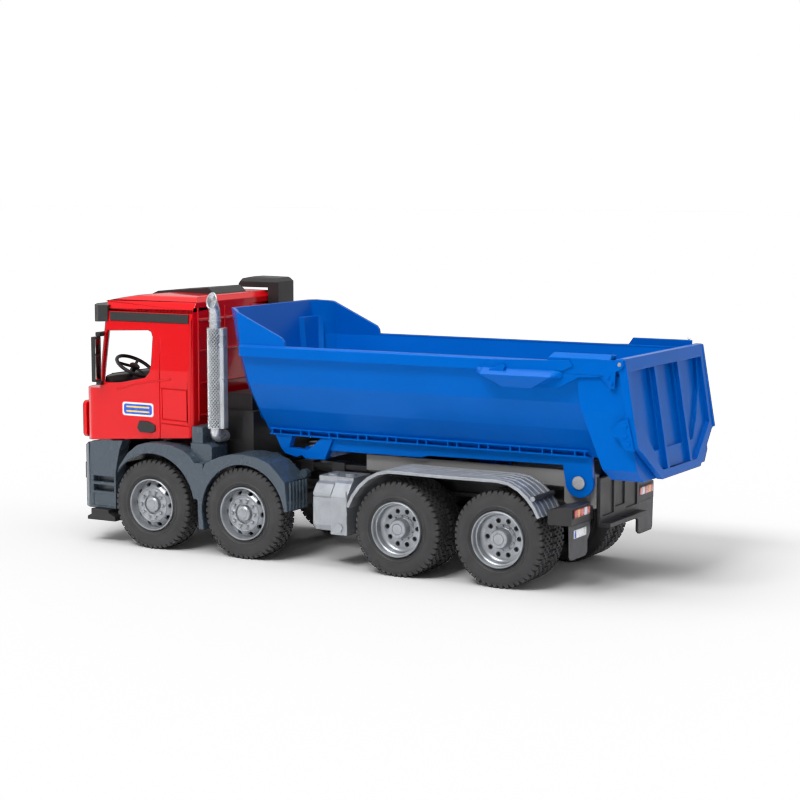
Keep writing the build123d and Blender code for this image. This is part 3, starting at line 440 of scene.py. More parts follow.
def make_mesh(name, bm, materials, sharp=35):
    """Turns a bmesh drawn in millimetres into a mesh in metres."""
    bmesh.ops.scale(bm, vec=(MM, MM, MM), verts=bm.verts)
    bmesh.ops.recalc_face_normals(bm, faces=bm.faces)
    mesh = bpy.data.meshes.new(name)
    bm.to_mesh(mesh)
    bm.free()
    mesh.shade_smooth()
    mesh.set_sharp_from_angle(angle=radians(sharp))
    for key in materials:
        mesh.materials.append(MATERIALS[key])
    return mesh


def make_piece(name, bm, body, materials, stands_for=()):
    """Turns a bmesh into a piece that rides on a body."""
    return place_piece(name, make_mesh(name, bm, materials), body, stands_for=stands_for)


def place_piece(name, mesh, body, place=(0, 0, 0), stands_for=(), turn=0.0):
    """Places a mesh at a point given in millimetres and lets it ride on a body."""
    made = bpy.data.objects.new(name, mesh)
    bpy.context.scene.collection.objects.link(made)
    made.location = Vector(place) * MM
    made.rotation_euler = (0, 0, turn)
    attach(made, body)
    if stands_for:
        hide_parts(*stands_for)
    return made


def joint_place(name):
    """A joint's place in millimetres."""
    return Vector(JOINTS[name]["pos_m"]) / MM


def box_mm(name):
    """A node's box in millimetres."""
    low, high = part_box(name)
    return Vector(low) / MM, Vector(high) / MM


# ================= CAD nodes that stay, in metres =================
SHARP_ANGLE = radians(30)
NO_CRISP_FOLDS = pi
ROUNDED_SHARP_SHARE = 0.3
FOLD_ANGLE = radians(5)
FOLD_LIMIT = radians(50)
FOLD_LENGTH = 12 * MM
FOLDED_NODES = ("dump_tub", "ledges", "tailgate_panel", "tailgate_hooks")
ROUNDED_NODES = ("cab_shell", "bumper", "roof_hatch")
SHELL_EDGE = 0.45 * MM
NODE_LOOKS = {
    "cab_shell": ("cab_red", 1.3 * MM),
    "grille_flap": ("cab_red", SHELL_EDGE),
    "dump_tub": ("body_blue", 0.3 * MM),
    "ledges": ("body_blue", 0.3 * MM),
    "tailgate_panel": ("body_blue", 0.3 * MM),
    "tailgate_hooks": ("body_blue", 0.25 * MM),
    "bumper": ("slate", 1.3 * MM),
    "front_mudguard_left": ("slate", 0.4 * MM),
    "front_mudguard_right": ("slate", 0.4 * MM),
    "air_intake": ("black", 0.15 * MM),
    "roof_hatch": ("black", 0.5 * MM),
    "seats": ("black", 1.6 * MM),
    "dashboard": ("black", 0.6 * MM),
    "subframe": ("grey", 0.25 * MM),
    "mud_flaps": ("flap", 0.2 * MM),
}
SILVER_NODES = ("rear_mudguard_left", "rear_mudguard_right", "tanks_left", "tanks_right")
STEEL_NODES = ("axle_shafts", "chassis_pins", "flap_pin", "dump_pins", "prop_foot_pin")
DEFAULT_EDGE = 0.25 * MM


def more_than(tree, value, limit):
    made = add_node(tree, "FunctionNodeCompare", data_type="FLOAT", operation="GREATER_THAN")
    tree.links.new(value, made.inputs["A"])
    made.inputs["B"].default_value = limit
    return made.outputs["Result"]


def either(tree, operation, first, second):
    made = add_node(tree, "FunctionNodeBooleanMath", operation=operation)
    tree.links.new(first, made.inputs[0])
    tree.links.new(second, made.inputs[1])
    return made.outputs["Boolean"]


def edge_weights(sharp_share, fold_share, crisp_from):
    """A node group that weights a bevel and keeps folds steeper than crisp_from crisp.

    A sharp edge gets sharp_share of the bevel's width, a long shallow fold gets fold_share.
    """
    tree = bpy.data.node_groups.new("edge weights", "GeometryNodeTree")
    tree.interface.new_socket("Geometry", in_out="INPUT", socket_type="NodeSocketGeometry")
    tree.interface.new_socket("Geometry", in_out="OUTPUT", socket_type="NodeSocketGeometry")
    angle = add_node(tree, "GeometryNodeInputMeshEdgeAngle").outputs["Unsigned Angle"]
    ends = add_node(tree, "GeometryNodeInputMeshEdgeVertices")
    length = add_node(tree, "ShaderNodeVectorMath", operation="DISTANCE")
    tree.links.new(ends.outputs["Position 1"], length.inputs[0])
    tree.links.new(ends.outputs["Position 2"], length.inputs[1])
    long_edge = more_than(tree, length.outputs["Value"], FOLD_LENGTH)
    fold = either(tree, "AND", more_than(tree, angle, FOLD_ANGLE), long_edge)
    fold = either(tree, "NIMPLY", fold, more_than(tree, angle, FOLD_LIMIT))
    sharp = add_node(tree, "ShaderNodeMath", operation="MULTIPLY")
    tree.links.new(more_than(tree, angle, SHARP_ANGLE), sharp.inputs[0])
    sharp.inputs[1].default_value = sharp_share
    chosen = add_node(tree, "ShaderNodeMath", operation="MAXIMUM")
    tree.links.new(sharp.outputs["Value"], chosen.inputs[0])
    folded = add_node(tree, "ShaderNodeMath", operation="MULTIPLY")
    tree.links.new(fold, folded.inputs[0])
    folded.inputs[1].default_value = fold_share
    tree.links.new(folded.outputs["Value"], chosen.inputs[1])
    store = add_node(tree, "GeometryNodeStoreNamedAttribute", data_type="FLOAT", domain="EDGE")
    store.inputs["Name"].default_value = "bevel_weight_edge"
    tree.links.new(add_node(tree, "NodeGroupInput").outputs["Geometry"], store.inputs["Geometry"])
    value = next(s for s in store.inputs if s.name == "Value" and s.enabled)
    tree.links.new(chosen.outputs["Value"], value)
    crisp = add_node(tree, "GeometryNodeSetShadeSmooth", domain="EDGE")
    tree.links.new(store.outputs["Geometry"], crisp.inputs["Geometry"])
    marked = either(tree, "AND", fold, more_than(tree, angle, crisp_from))
    tree.links.new(marked, crisp.inputs["Selection"])
    crisp.inputs["Shade Smooth"].default_value = False
    tree.links.new(crisp.outputs["Geometry"], add_node(tree, "NodeGroupOutput").inputs["Geometry"])
    return tree


def soften(item, width, weights):
    """Rounds a CAD node's sharp edges with modifiers, so its own mesh stays as it was packed."""
    weld = item.modifiers.new("weld", "WELD")
    weld.merge_threshold = 0.01 * MM
    flat = item.modifiers.new("flat", "DECIMATE")
    flat.decimate_type = "DISSOLVE"
    flat.angle_limit = radians(0.5)
    item.modifiers.new("weights", "NODES").node_group = weights
    bevel = item.modifiers.new("bevel", "BEVEL")
    bevel.width = width
    bevel.segments = 2
    bevel.limit_method = "WEIGHT"
    bevel.use_clamp_overlap = False
    normals = item.modifiers.new("normals", "WEIGHTED_NORMAL")
    normals.weight = 60
    normals.keep_sharp = True


def dress_nodes():
    folded = edge_weights(1.0, 0.0, FOLD_ANGLE)
    rounded = edge_weights(ROUNDED_SHARP_SHARE, 1.0, NO_CRISP_FOLDS)
    plain = edge_weights(1.0, 1.0, NO_CRISP_FOLDS)
    groups = {name: folded for name in FOLDED_NODES}
    groups.update({name: rounded for name in ROUNDED_NODES})
    for name, item in NODES.items():
        key, edge = NODE_LOOKS.get(name, ("black", DEFAULT_EDGE))
        if name in SILVER_NODES or name.startswith("rim_"):
            key = "silver"
        if name in STEEL_NODES:
            key = "steel"
        item.data.materials.clear()
        item.data.materials.append(MATERIALS[key])
        soften(item, edge, groups.get(name, plain))


# ================= tyres and wheels, in millimetres =================
def lug(bm, angle, width, corners):
    """One tread block: an outline of four (radius, y) corners, swept through a small angle."""
    points = []
    for end in (-0.5, 0.5):
        a = angle + width * end
        for radius, y in corners:
            taper = 0.06 * (radius - corners[0][0]) / TYRE_R
            b = a - taper * end * 2
            points.append((radius * cos(b), y, radius * sin(b)))
    hexahedron(bm, points)


def tyre_carcass(bm, middle, half):
    """The tyre under its blocks: bead, ribbed sidewall, shoulder and grooved tread."""
    side = [(22.0, 3.2), (22.5, 1.3), (23.6, 0.7), (24.2, 0.9), (24.9, 0.2), (25.7, 0.0), (26.2, 0.35)]
    side += [(28.6, 0.0), (31.0, 0.05), (31.5, 0.3), (32.6, 0.35), (34.6, 0.9)]
    side += [(TREAD_FLOOR_R, 1.9), (36.3, 3.4)]
    profile = [(r, middle + half - inset) for r, inset in side]
    profile += [(r, middle - half + inset) for r, inset in reversed(side)]
    turned(bm, profile, segments=96)


def tyre_blocks(bm, middle, half):
    """On each side a shoulder block in two parts and an inner block; one row down the middle."""
    pitch = 2 * pi / TREAD_LUGS
    wide, narrow = pitch * 0.74, pitch * 0.70
    for k in range(TREAD_LUGS):
        angle = pitch * k
        for sign in (1, -1):
            edge = middle + sign * half
            shoulder = [(34.0, 0.5), (36.9, 1.3), (TYRE_R, 2.3), (TREAD_FLOOR_R, 2.3)]
            outer = [(TREAD_FLOOR_R, 2.3), (TYRE_R, 2.3), (TYRE_R, 4.9), (TREAD_FLOOR_R, 4.9)]
            inner = [(TREAD_FLOOR_R, 5.6), (TYRE_R, 5.6), (TYRE_R, 8.2), (TREAD_FLOOR_R, 8.2)]
            for turn, width, corners in ((0, narrow, shoulder), (0, narrow, outer), (0.5, wide, inner)):
                placed = [(r, edge - sign * inset) for r, inset in corners]
                lug(bm, angle + pitch * turn, width, placed)
        centre = [(TREAD_FLOOR_R, -1.7), (TYRE_R, -1.7), (TYRE_R, 1.7), (TREAD_FLOOR_R, 1.7)]
        lug(bm, angle, wide, [(r, middle + y) for r, y in centre])


def tyre_mesh(name, middles, half):
    bm = bmesh.new()
    for middle in middles:
        tyre_carcass(bm, middle, half)
        tyre_blocks(bm, middle, half)
    return make_mesh(name, bm, ["tyre"], TYRE_SHARP)


def add_tyres():
    low, high = box_mm("tyre_1_left")
    front = tyre_mesh("front_tyre", [0.0], (high.y - low.y) / 2)
    front_middle = (high.y + low.y) / 2
    low, high = box_mm("tyre_3_left")
    twin_half = (high.y - low.y - TWIN_GAP) / 4
    apart = twin_half + TWIN_GAP / 2
    rear = tyre_mesh("twin_tyres", [-apart, apart], twin_half)
    rear_middle = (high.y + low.y) / 2
    for number in WHEEL_NAMES:
        mesh, middle = (front, front_middle) if number in FRONT_WHEELS else (rear, rear_middle)
        for side, sign in SIDES:
            wheel = f"wheel_{number}_{side}"
            spin = joint_place(wheel + "_spin")
            place = (spin.x, sign * middle, spin.z)
            node = f"tyre_{number}_{side}"
            place_piece("rubber_" + node, mesh, wheel, place, (node,))


def pierced_ring(bm, inner, outer, hole_r, hole_across, hole_along):
    """A ring between two (radius, height) circles with round holes; hole_r is where they sit."""
    half = pi / HOLES
    steps = 6
    width = outer[0] - inner[0]
    edge = [(inner[0], -half + 2 * half * k / steps) for k in range(steps)]
    edge += [(inner[0] + width * k / steps, half) for k in range(steps)]
    edge += [(outer[0], half - 2 * half * k / steps) for k in range(steps)]
    edge += [(outer[0] - width * k / steps, -half) for k in range(steps)]
    for sector in range(HOLES):
        middle = 2 * pi * sector / HOLES
        border, rim, deep = [], [], []
        for radius, angle in edge:
            turn = atan2(angle / half, (radius - hole_r) * 2 / width)
            hole_radius = hole_r + hole_across * cos(turn)
            hole_angle = middle + hole_along * sin(turn) / hole_r
            border.append(bm.verts.new(ring_point(inner, outer, radius, middle + angle, 0)))
            rim.append(bm.verts.new(ring_point(inner, outer, hole_radius, hole_angle, 0)))
            deep.append(bm.verts.new(ring_point(inner, outer, hole_radius, hole_angle, HOLE_WALL)))
        join_loops(bm, border, rim, len(edge))
        join_loops(bm, rim, deep, len(edge))


def ring_point(inner, outer, radius, angle, below):
    share = (radius - inner[0]) / (outer[0] - inner[0])
    height = inner[1] + share * (outer[1] - inner[1]) - below
    return (radius * cos(angle), height, radius * sin(angle))


def studs(bm, radius, height, profile, segments, shift=0.0):
    """Nuts or bolts in a ring."""
    for k in range(NUTS):
        angle = 2 * pi * (k + shift) / NUTS
        place = (radius * cos(angle), height, radius * sin(angle))
        turned(bm, profile, place, segments=segments)


FRONT_LIP = [(21.9, -21.8), (21.9, -1.2), (21.8, -0.4), (21.4, 0), (20.9, -0.1), (20.6, -0.6),
             (20.4, -1.8), (19.9, -5.0), (19.3, -6.3)]
FRONT_HUB = [(14.8, -2.6), (14.4, -1.9), (13.8, -1.8), (13.3, -2.5), (8.5, -2.5), (8.2, -2.9),
             (8.1, -4.2), (6.6, -4.4), (6.4, -3.8), (6.1, -1.6), (5.0, -0.6), (4.1, -0.4),
             (3.8, 0.1), (2.8, 0.3), (0, 0.3)]
FRONT_BACK = [(21.9, -21.8), (21.3, -22.3), (20.6, -21.8), (20.3, -11), (18.8, -9.6),
              (7.6, -9.6), (7.2, -14), (7.2, -23.1), (2.7, -23.1)]
REAR_LIP = [(21.9, -41.0), (21.9, -1.2), (21.8, -0.4), (21.4, 0), (20.9, -0.1), (20.6, -0.6),
            (20.3, -2.4), (20.1, -4.2), (19.3, -4.8), (18.9, -9.8), (18.2, -10.7),
            (17.2, -11.3), (16.4, -11.5)]
REAR_HUB = [(10.4, -11.5), (10.2, -11.0), (8.7, -10.9), (8.3, -10.4), (7.9, -10.2), (7.5, -4.6),
            (7.1, -3.5), (6.7, -3.1), (4.8, -3.1), (4.5, -3.5), (4.2, -3.4), (3.9, -2.9), (0, -2.9)]
REAR_BACK = [(21.9, -41.0), (21.3, -41.5), (20.6, -41.0), (20.3, -15.0), (18.6, -14.2),
             (7.6, -14.2), (7.2, -20), (7.2, -41.4), (2.7, -41.4)]


def front_rim(bm):
    """Lip, cone with oval holes, plateau with ringed nuts, and the hub; height 0 is the lip."""
    turned(bm, FRONT_LIP, segments=RIM_SEGMENTS)
    pierced_ring(bm, (14.8, -2.6), (19.3, -6.3), 17.0, 1.65, 2.2)
    turned(bm, FRONT_HUB, segments=RIM_SEGMENTS)
    studs(bm, 10.8, -2.5, [(2.1, 0), (2.1, 0.3), (1.8, 0.5), (1.6, 0.1)], 20)
    studs(bm, 10.8, -2.6, [(1.3, 0), (1.3, 1.5), (0.9, 2.0), (0, 2.1)], 6)
    # The back is black plastic, a dark sheet seen through the holes: painted shade.
    turned(bm, FRONT_BACK, segments=RIM_SEGMENTS, material=1)


def rear_rim(bm):
    """A deep stepped barrel, a flat disc with round holes, and a long hub ringed with bolts."""
    turned(bm, REAR_LIP, segments=RIM_SEGMENTS)
    pierced_ring(bm, (10.4, -11.5), (16.4, -11.5), 13.5, 2.0, 2.0)
    turned(bm, REAR_HUB, segments=RIM_SEGMENTS)
    studs(bm, 9.4, -10.9, [(0.75, 0), (0.75, 0.9), (0.5, 1.2), (0, 1.3)], 6, 0.5)
    studs(bm, 5.8, -3.1, [(0.5, 0), (0.5, 0.2), (0.3, 0.3), (0, 0.3)], 10)
    # The back is black plastic, a dark sheet seen through the holes: painted shade.
    turned(bm, REAR_BACK, segments=RIM_SEGMENTS, material=1)


def rim_mesh(name, build):
    bm = bmesh.new()
    build(bm)
    bmesh.ops.remove_doubles(bm, verts=bm.verts, dist=WELD_DISTANCE)
    return make_mesh(name, bm, ["silver", "black"], RIM_SHARP)


def add_rims():
    front, rear = rim_mesh("front_rim", front_rim), rim_mesh("rear_rim", rear_rim)
    for number in WHEEL_NAMES:
        mesh, proud = (front, FRONT_HUB_PROUD) if number in FRONT_WHEELS else (rear, 0.0)
        for side, sign in SIDES:
            wheel = f"wheel_{number}_{side}"
            spin = joint_place(wheel + "_spin")
            node = f"rim_{number}_{side}"
            low, high = box_mm(node)
            lip = (high.y if sign > 0 else -low.y) - proud
            place = (spin.x, sign * lip, spin.z)
            turn = 0.0 if sign > 0 else pi
            place_piece("cast_" + node, mesh, wheel, place, (node,), turn)


# ================= exhaust, in millimetres =================
EXHAUST_Y = 64
EXHAUST_SHIELD_R = 6.4
SHIELD_LOW = 104
SHIELD_HIGH = 187
SHIELD_FROM = -75
SHIELD_SWEEP = 240
LATTICE_ACROSS = 2.7
LATTICE_UP = 3.1
LATTICE_DEPTH = 0.9
LATTICE_HOLLOW = 0.33
PIPE_R = 4.6
LOWER_BEND_Z = 101
COLLAR_Z = 192
MOUTH_START = 198.5
MOUTH_MIDDLE = 209
MOUTH_LEAN = 28
MOUTH_BEND_R = 12
MOUTH_LIP_R = 0.62


def shield_grid(bm, x, y, low, high):
    """The shield's front, pressed with a diamond lattice of hollows; faces at the bottom of each hollow
    take a darker silver as painted shade.
    """
    around, up = 96, 250
    rows = []
    hollow_painted_shade = set()
    for j in range(up + 1):
        z = low + (high - low) * j / up
        row = []
        for i in range(around + 1):
            angle = radians(SHIELD_FROM + SHIELD_SWEEP * i / around)
            u = angle * EXHAUST_SHIELD_R / LATTICE_ACROSS
            v = (z - low) / LATTICE_UP
            ridge = max(abs((u + v) % 1 - 0.5), abs((u - v) % 1 - 0.5))
            is_hollow = ridge < LATTICE_HOLLOW and 0 < j < up and 0 < i < around
            r = EXHAUST_SHIELD_R - (LATTICE_DEPTH if is_hollow else 0.0)
            vert = bm.verts.new((x + r * cos(angle), y + r * sin(angle), z))
            if is_hollow:
                hollow_painted_shade.add(vert)
            row.append(vert)
        rows.append(row)
    for low_row, high_row in zip(rows, rows[1:]):
        for i in range(around):
            corners = (low_row[i], low_row[i + 1], high_row[i + 1], high_row[i])
            face = bm.faces.new(corners)
            # Faces at the bottom of a hollow get the darker silver: painted shade in the dents.
            face.material_index = 1 if all(v in hollow_painted_shade for v in corners) else 0


def add_exhaust():
    low, high = box_mm("exhaust")
    x = high.x - EXHAUST_SHIELD_R
    y = EXHAUST_Y
    bm = bmesh.new()
    shield_grid(bm, x, y, SHIELD_LOW, SHIELD_HIGH)
    back = low.x
    inner = y - EXHAUST_SHIELD_R
    outline = [(x + 1.5, inner + 0.2), (back + 1.5, inner), (back, inner + 1.5)]
    outline += [(back, y + 1.0), (back + 1.0, y + 2.0), (x - 6.0, y + 2.0)]
    outline += [(x - 2.0, y + 3.0)]
    prism(bm, outline, SHIELD_LOW, SHIELD_HIGH, "xy")
    cap_r = EXHAUST_SHIELD_R - 0.2
    for z in (SHIELD_LOW, SHIELD_HIGH - 0.8):
        turned(bm, [(0, 0), (cap_r, 0), (cap_r, 0.8), (0, 0.8)], (x, y, z), (0, 0, 1), 48)
    bend = [(x, y, SHIELD_LOW + 2), (x, y, LOWER_BEND_Z)]
    for angle in range(15, 91, 15):
        turn = radians(angle)
        bend.append((x, y - PIPE_R * (1 - cos(turn)), LOWER_BEND_Z - PIPE_R * sin(turn)))
    bend += [(x, y - 14, LOWER_BEND_Z - PIPE_R)]
    tube(bm, bend, PIPE_R, 32)
    add_exhaust_mouth(bm, x, y)
    collar = [(PIPE_R, 0), (PIPE_R + 0.5, 0.2), (PIPE_R + 0.5, 1.2), (PIPE_R, 1.4)]
    turned(bm, collar, (x, y, COLLAR_Z), (0, 0, 1), 40)
    keys = ["bright_silver", "hollow_painted_shade"]
    make_piece("exhaust_stack", bm, "chassis", keys, stands_for=("exhaust",))


def add_exhaust_mouth(bm, x, y):
    """The pipe above the shield, leaning outward and cut off steeply, with a rolled lip."""
    line = [(x, y, SHIELD_HIGH - 1)]
    for angle in range(0, MOUTH_LEAN + 1, 4):
        turn = radians(angle)
        line.append((x, y + MOUTH_BEND_R * (1 - cos(turn)), MOUTH_START + MOUTH_BEND_R * sin(turn)))
    ring = tube(bm, line, PIPE_R, 40)[-1]
    along = Vector((0, sin(radians(MOUTH_LEAN)), cos(radians(MOUTH_LEAN))))
    cut_normal = Vector((0, 0.961, 0.276))
    cut_centre = Vector((x, y + 4.3, MOUTH_MIDDLE))
    for vert in ring:
        vert.co += along * ((cut_centre - vert.co).dot(cut_normal) / along.dot(cut_normal))
    middle = sum((v.co for v in ring), Vector()) / len(ring)
    lip = [v.co + (v.co - middle).normalized() * -0.1 for v in ring]
    tube(bm, lip, MOUTH_LIP_R, 12, closed=True)
    previous = ring
    for scale, depth in ((0.86, 0.2), (0.83, 2.5), (0.80, 5.0), (0.02, 5.2)):
        loop = [bm.verts.new(middle + (v.co - middle) * scale - along * depth) for v in ring]
        join_loops(bm, previous, loop, len(ring))
        previous = loop


# ================= lamps, plate and sticker, in millimetres =================
DOOR_Y = 70.0


def add_tail_lamps():
    """Each lamp is a black housing with a row of moulded lenses."""
    low, high = box_mm("tail_lamps")
    rear = low.x
    outer = high.y
    inner = 47.2
    frame_width = 1.2
    z0, z1 = low.z, high.z
    shares = ((0.0, 0.16, 1), (0.16, 0.36, 2), (0.36, 0.62, 1), (0.62, 0.82, 3), (0.82, 1.0, 1))
    bm = bmesh.new()
    block(bm, (rear + 0.5, inner, z0), (high.x + 0.2, outer, z1), 0.3)
    length = outer - inner - 2 * frame_width
    for start, end, material in shares:
        y1 = outer - frame_width - length * start
        y0 = outer - frame_width - length * end
        block(bm, (rear, y0 + 0.15, z0 + 0.7), (rear + 1.0, y1 - 0.15, z1 - 0.7), 0.25, material)
    mirror_y(bm)
    keys = ["black", "lens_red", "lens_amber", "lens_white"]
    make_piece("tail_lamp_lenses", bm, "chassis", keys, stands_for=("tail_lamps",))


def add_number_plate():
    """A blank plate on the left mud flap, with a coloured edge band."""
    low, _ = box_mm("mud_flaps")
    bm = bmesh.new()
    rear = low.x
    y0, y1 = 53.0, 74.6
    z0, z1 = 42.6, 48.8
    block(bm, (rear - 0.7, y0, z0), (rear + 0.1, y1, z1), 0.25)
    block(bm, (rear - 0.85, y1 - 3.0, z0 + 0.4), (rear - 0.3, y1 - 0.5, z1 - 0.4), 0.1, 1)
    make_piece("number_plate", bm, "chassis", ["white_film", "blue_film"])


def sticker_outline(x0, x1, z0, z1, corner):
    """A rectangle with rounded corners."""
    points = []
    centres = ((x1 - corner, z1 - corner), (x0 + corner, z1 - corner),
               (x0 + corner, z0 + corner), (x1 - corner, z0 + corner))
    for quarter, (cx, cz) in enumerate(centres):
        for k in range(6):
            angle = radians(90 * quarter + 18 * k)
            points.append((cx + corner * cos(angle), cz + corner * sin(angle)))
    return points


def add_door_stickers():
    """A plain badge on each door: white edge, blue field and two yellow bars, with no lettering."""
    bm = bmesh.new()
    layers = ((182.0, 214.0, 110.2, 121.6, 0.12, 0), (183.4, 212.6, 111.6, 120.2, 0.2, 1),
              (186.0, 210.0, 117.2, 118.4, 0.26, 2), (186.0, 210.0, 113.4, 114.6, 0.26, 2))
    for x0, x1, z0, z1, proud, material in layers:
        corner = min(2.2, (z1 - z0) / 2.05)
        outline = sticker_outline(x0, x1, z0, z1, corner)
        prism(bm, outline, DOOR_Y - 0.1, DOOR_Y + proud, "xz", material=material)
    mirror_y(bm)
    make_piece("door_stickers", bm, "cab", ["white_film", "blue_film", "yellow_film"])


# ================= cab details, in millimetres =================
def add_visor_lamps():
    """Four amber lamps on the sun visor; the outer two follow its swept-back ends."""
    _, high = box_mm("sun_visor")
    bm = bmesh.new()
    for y, back in ((-44, 4.2), (-15, 0.9), (15, 0.9), (44, 4.2)):
        place = (high.x - back, y, 193.0)
        housing = [(0, -1.0), (3.4, -1.0), (3.4, 0.2), (2.8, 0.8), (2.6, 0.3)]
        turned(bm, housing, place, (1, 0, 0), 28)
        turned(bm, [(2.7, 0), (2.6, 0.5), (1.4, 0.9), (0, 1.0)], place, (1, 0, 0), 28, 1)
    make_piece("visor_lamps", bm, "cab", ["black", "lens_amber"])


def add_headlights():
    """A housing, a clear cover and two reflectors on each side, turned to follow the bumper."""
    face_x, middle_y, middle_z = 255.6, 52, 59
    bm = bmesh.new()
    for _, side in SIDES:
        turn = Matrix.Translation((face_x, 0, 0)) @ Matrix.Rotation(side * radians(-17), 4, "Z")
        turn = Matrix.Translation((0, side * middle_y, 0)) @ turn
        block(bm, (-1.0, -11, 52), (2.4, 11, 66), 0.8, 0, turn)
        block(bm, (1.2, -9.8, 53.2), (3.1, 9.8, 64.8), 0.7, 1, turn)
        for y in (-4.6, 4.6):
            ring = [(4.3, 0), (4.3, 0.7), (3.8, 0.9), (3.3, 0.2), (0, 0.1)]
            start = turn @ Vector((3.0, y, middle_z))
            turned(bm, ring, start, turn.to_3x3() @ Vector((1, 0, 0)), 28, 2)
    make_piece("headlights", bm, "chassis", ["black", "lens_white", "mirror"])


def add_grille_bars():
    _, high = box_mm("grille_flap")
    half_width = 51
    bm = bmesh.new()
    for z in (94.2, 100.2, 106.2, 112.2):
        low_corner = (high.x - 1.0, -half_width, z - 0.5)
        high_corner = (high.x - 0.1, half_width, z + 0.5)
        block(bm, low_corner, high_corner, 0.2)
    make_piece("grille_bars", bm, "flap", ["black"])


def add_mirror_glass():
    """A tall and a short glass on the back of each mirror, placed from its hinge."""
    for side, sign in SIDES:
        body = "mirror_l" if sign > 0 else "mirror_r"
        bm = bmesh.new()
        hinge = joint_place(f"mirror_{side}_fold")
        inner, outer = sorted((hinge.y + sign * 2.2, hinge.y + sign * 8.6))
        back = hinge.x - 3.5
        for z0, z1 in ((140.2, 160.6), (162.0, 174.4)):
            block(bm, (back - 0.3, inner, z0), (back + 0.4, outer, z1), 0.2)
        make_piece("mirror_glass_" + side, bm, body, ["mirror"])


def add_steering_wheel():
    """A rim, a hub and three spokes about the steering joint."""
    ring_r, grip_r, spoke_r = 16.5, 1.35, 1.1
    spin = joint_place("steering_spin")
    axis = Vector(JOINTS["steering_spin"]["axis"]).normalized()
    side = Vector((0, 1, 0))
    fore = side.cross(axis)
    bm = bmesh.new()
    turns = [2 * pi * k / 64 for k in range(64)]
    ring = [spin + (side * cos(a) + fore * sin(a)) * ring_r for a in turns]
    tube(bm, ring, grip_r, 14, closed=True)
    hub = [(0, -7.0), (1.1, -7.0), (1.1, -2), (3.4, -1.4), (4.4, 0.6), (3.6, 1.3), (0, 1.5)]
    turned(bm, hub, spin, axis, 32)
    for angle in (30, 150, 270):
        out = side * cos(radians(angle)) + fore * sin(radians(angle))
        spoke = [spin + out * 3 - axis * 0.6, spin + out * 10 - axis * 0.4, spin + out * 16]
        tube(bm, spoke, spoke_r, 10)
    replaced = ("steering_wheel",)
    make_piece("steering_ring", bm, "steering", ["black"], stands_for=replaced)


def add_dash_details():
    """Two gauges, a row of switches and three wider panels on the dashboard."""
    face_x = 227.2
    bm = bmesh.new()
    gauge = [(4.6, 0), (4.6, 0.9), (4.1, 1.1), (3.8, 0.4), (0, 0.3)]
    for y in (24.0, 36.0):
        turned(bm, gauge, (232.6, y, 134.6), (-0.85, 0, 0.5), 28)
    for k in range(4):
        block(bm, (face_x, -6 + 3 * k, 122), (228.4, -4 + 3 * k, 126), 0.2)
    for y in (-50, -34, 50):
        block(bm, (face_x, y - 5, 118), (228.4, y + 5, 124), 0.3)
    make_piece("dash_details", bm, "cab", ["black"])


# ================= chassis details, in millimetres =================
def add_tank_fittings():
    """A ring of six bolts, three straps and a cap on the tanks of each side."""
    _, high = box_mm("tanks_left")
    bm = bmesh.new()
    wall = high.y - 1.2
    ring_x, ring_z, ring_r = -3.2, 33.6, 3.0
    for k in range(6):
        angle = 2 * pi * k / 6
        place = (ring_x + ring_r * cos(angle), wall, ring_z + ring_r * sin(angle))
        turned(bm, [(0.9, 0), (0.9, 0.9), (0, 1.15)], place, segments=12)
    for z0 in (36.5, 46.5, 56.0):
        block(bm, (-10.2, 75.9, z0), (-9.0, 76.8, z0 + 7.0), 0.2)
    turned(bm, [(1.4, 0), (1.4, 1.2), (0, 1.5)], (7.4, 74.4, 52.0), segments=16)
    mirror_y(bm)
    make_piece("tank_fittings", bm, "chassis", ["silver"])


def add_driveline():
    """Differential housings and a propeller shaft between the rear axles."""
    shaft_r = 2.4
    half_pot = [(10.4, 3.5), (8.2, 8.0), (4.0, 11.0), (0, 11.5)]
    pot = [(r, -h) for r, h in reversed(half_pot)] + [(10.9, 0)] + half_pot
    flange = [(3.6, 9), (3.6, 14), (5.0, 14.2), (5.0, 15.6), (0, 15.8)]
    bm = bmesh.new()
    for number in ("3", "4"):
        spin = joint_place(f"wheel_{number}_left_spin")
        turned(bm, pot, (spin.x, 0, spin.z), (0, 1, 0), 40)
        turned(bm, flange, (spin.x, 0, spin.z), (1, 0, 0), 28)
    rear, middle, fore = (joint_place(f"wheel_{n}_left_spin") for n in ("4", "3", "2"))
    tube(bm, [(rear.x + 14, 0, rear.z), (middle.x - 8, 0, middle.z)], shaft_r, 20)
    tube(bm, [(middle.x + 14, 0, middle.z), (fore.x, 0, 50)], shaft_r, 20)
    make_piece("driveline", bm, "chassis", ["black"])


# ================= stage, in metres =================
FLOOR_HALF = 14.0
LIGHT_AIM = (0, 0, 0.1)


def add_stage():
    bm = bmesh.new()
    signs = ((-1, -1), (1, -1), (1, 1), (-1, 1))
    bm.faces.new([bm.verts.new((x * FLOOR_HALF, y * FLOOR_HALF, 0)) for x, y in signs])
    mesh = bpy.data.meshes.new("floor")
    bm.to_mesh(mesh)
    bm.free()
    mesh.materials.append(MATERIALS["floor"])
    floor = bpy.data.objects.new("floor", mesh)
    bpy.context.scene.collection.objects.link(floor)
    floor.is_shadow_catcher = True


def add_light(name, place, size, power):
    data = bpy.data.lights.new(name, "AREA")
    data.shape = "RECTANGLE"
    data.size, data.size_y = size
    data.energy = power
    lamp = bpy.data.objects.new(name, data)
    bpy.context.scene.collection.objects.link(lamp)
    lamp.location = place
    lamp.rotation_euler = (Vector(LIGHT_AIM) - Vector(place)).to_track_quat("-Z", "Y").to_euler()


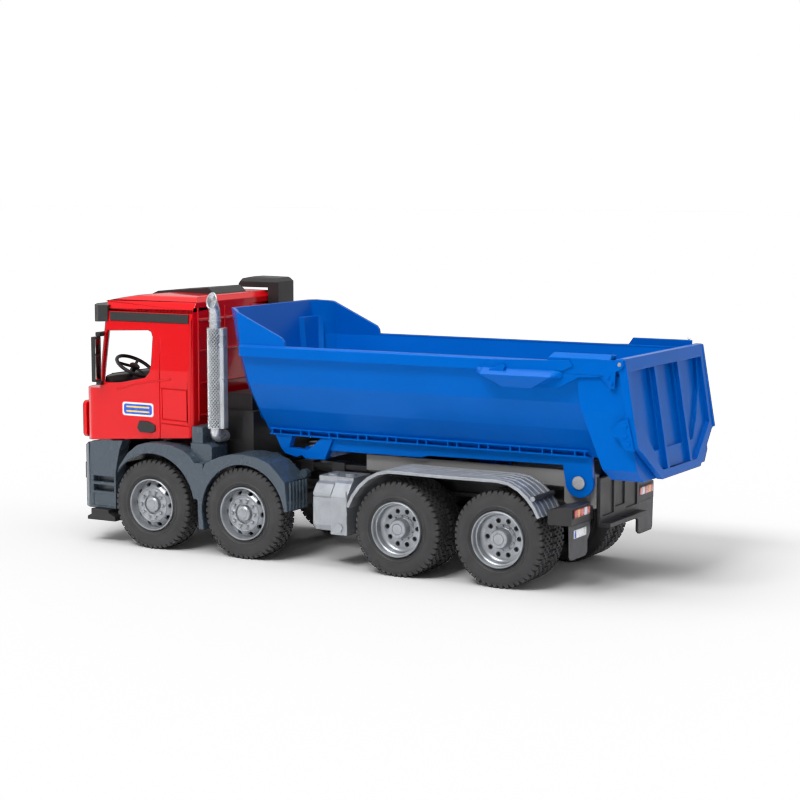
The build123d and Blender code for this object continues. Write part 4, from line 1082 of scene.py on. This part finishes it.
def mix_values(tree, factor, first, second):
    """A mix of two values, each a plain number or another node's output."""
    made = add_node(tree, "ShaderNodeMix", data_type="FLOAT")
    tree.links.new(factor, made.inputs["Factor"])
    for name, value in (("A", first), ("B", second)):
        if isinstance(value, float):
            made.inputs[name].default_value = value
        else:
            tree.links.new(value, made.inputs[name])
    return made.outputs["Result"]


def add_world():
    """White to the camera, a soft gradient to surfaces and a brighter one to reflections."""
    world = bpy.data.worlds.new("studio")
    bpy.context.scene.world = world
    world.use_nodes = True
    tree = world.node_tree
    sky = tree.nodes["Background"]
    height = add_node(tree, "ShaderNodeSeparateXYZ")
    generated = add_node(tree, "ShaderNodeTexCoord").outputs["Generated"]
    tree.links.new(generated, height.inputs["Vector"])
    rays = add_node(tree, "ShaderNodeLightPath")
    glow = span(tree, height.outputs["Z"], 0.04, 0.62, -0.2, 0.9)
    mirrored = span(tree, height.outputs["Z"], 0.40, 0.80, -0.1, 0.4)
    lit = mix_values(tree, rays.outputs["Is Glossy Ray"], glow, mirrored)
    level = mix_values(tree, rays.outputs["Is Camera Ray"], lit, 1.0)
    tree.links.new(level, sky.inputs["Strength"])
    sky.inputs["Color"].default_value = (1.0, 1.0, 1.0, 1.0)


def add_lights():
    add_light("key", (0.1, 1.75, 2.2), (1.4, 0.7), 56)
    add_light("top", (0.1, 0.2, 2.3), (2.2, 1.4), 26)
    add_light("rear", (-2.4, -0.4, 1.3), (1.0, 1.2), 7)
    add_light("fill", (2.2, 0.6, 1.0), (1.2, 1.2), 9)


def add_camera():
    data = bpy.data.cameras.new("camera")
    data.sensor_width = SENSOR_MM
    data.lens = CAMERA_LENS_MM
    data.clip_start = 0.01
    data.clip_end = 100.0
    camera = bpy.data.objects.new("camera", data)
    bpy.context.scene.collection.objects.link(camera)
    camera.location = CAMERA_PLACE
    camera.rotation_euler = Vector(CAMERA_FORWARD).to_track_quat("-Z", "Y").to_euler()
    bpy.context.scene.camera = camera
    bpy.context.scene.view_settings.view_transform = "Standard"


dress_nodes()
add_tyres()
add_rims()
add_exhaust()
add_tail_lamps()
add_number_plate()
add_door_stickers()
add_visor_lamps()
add_headlights()
add_grille_bars()
add_mirror_glass()
add_steering_wheel()
add_dash_details()
add_tank_fittings()
add_driveline()
add_stage()
add_world()
add_lights()
add_camera()
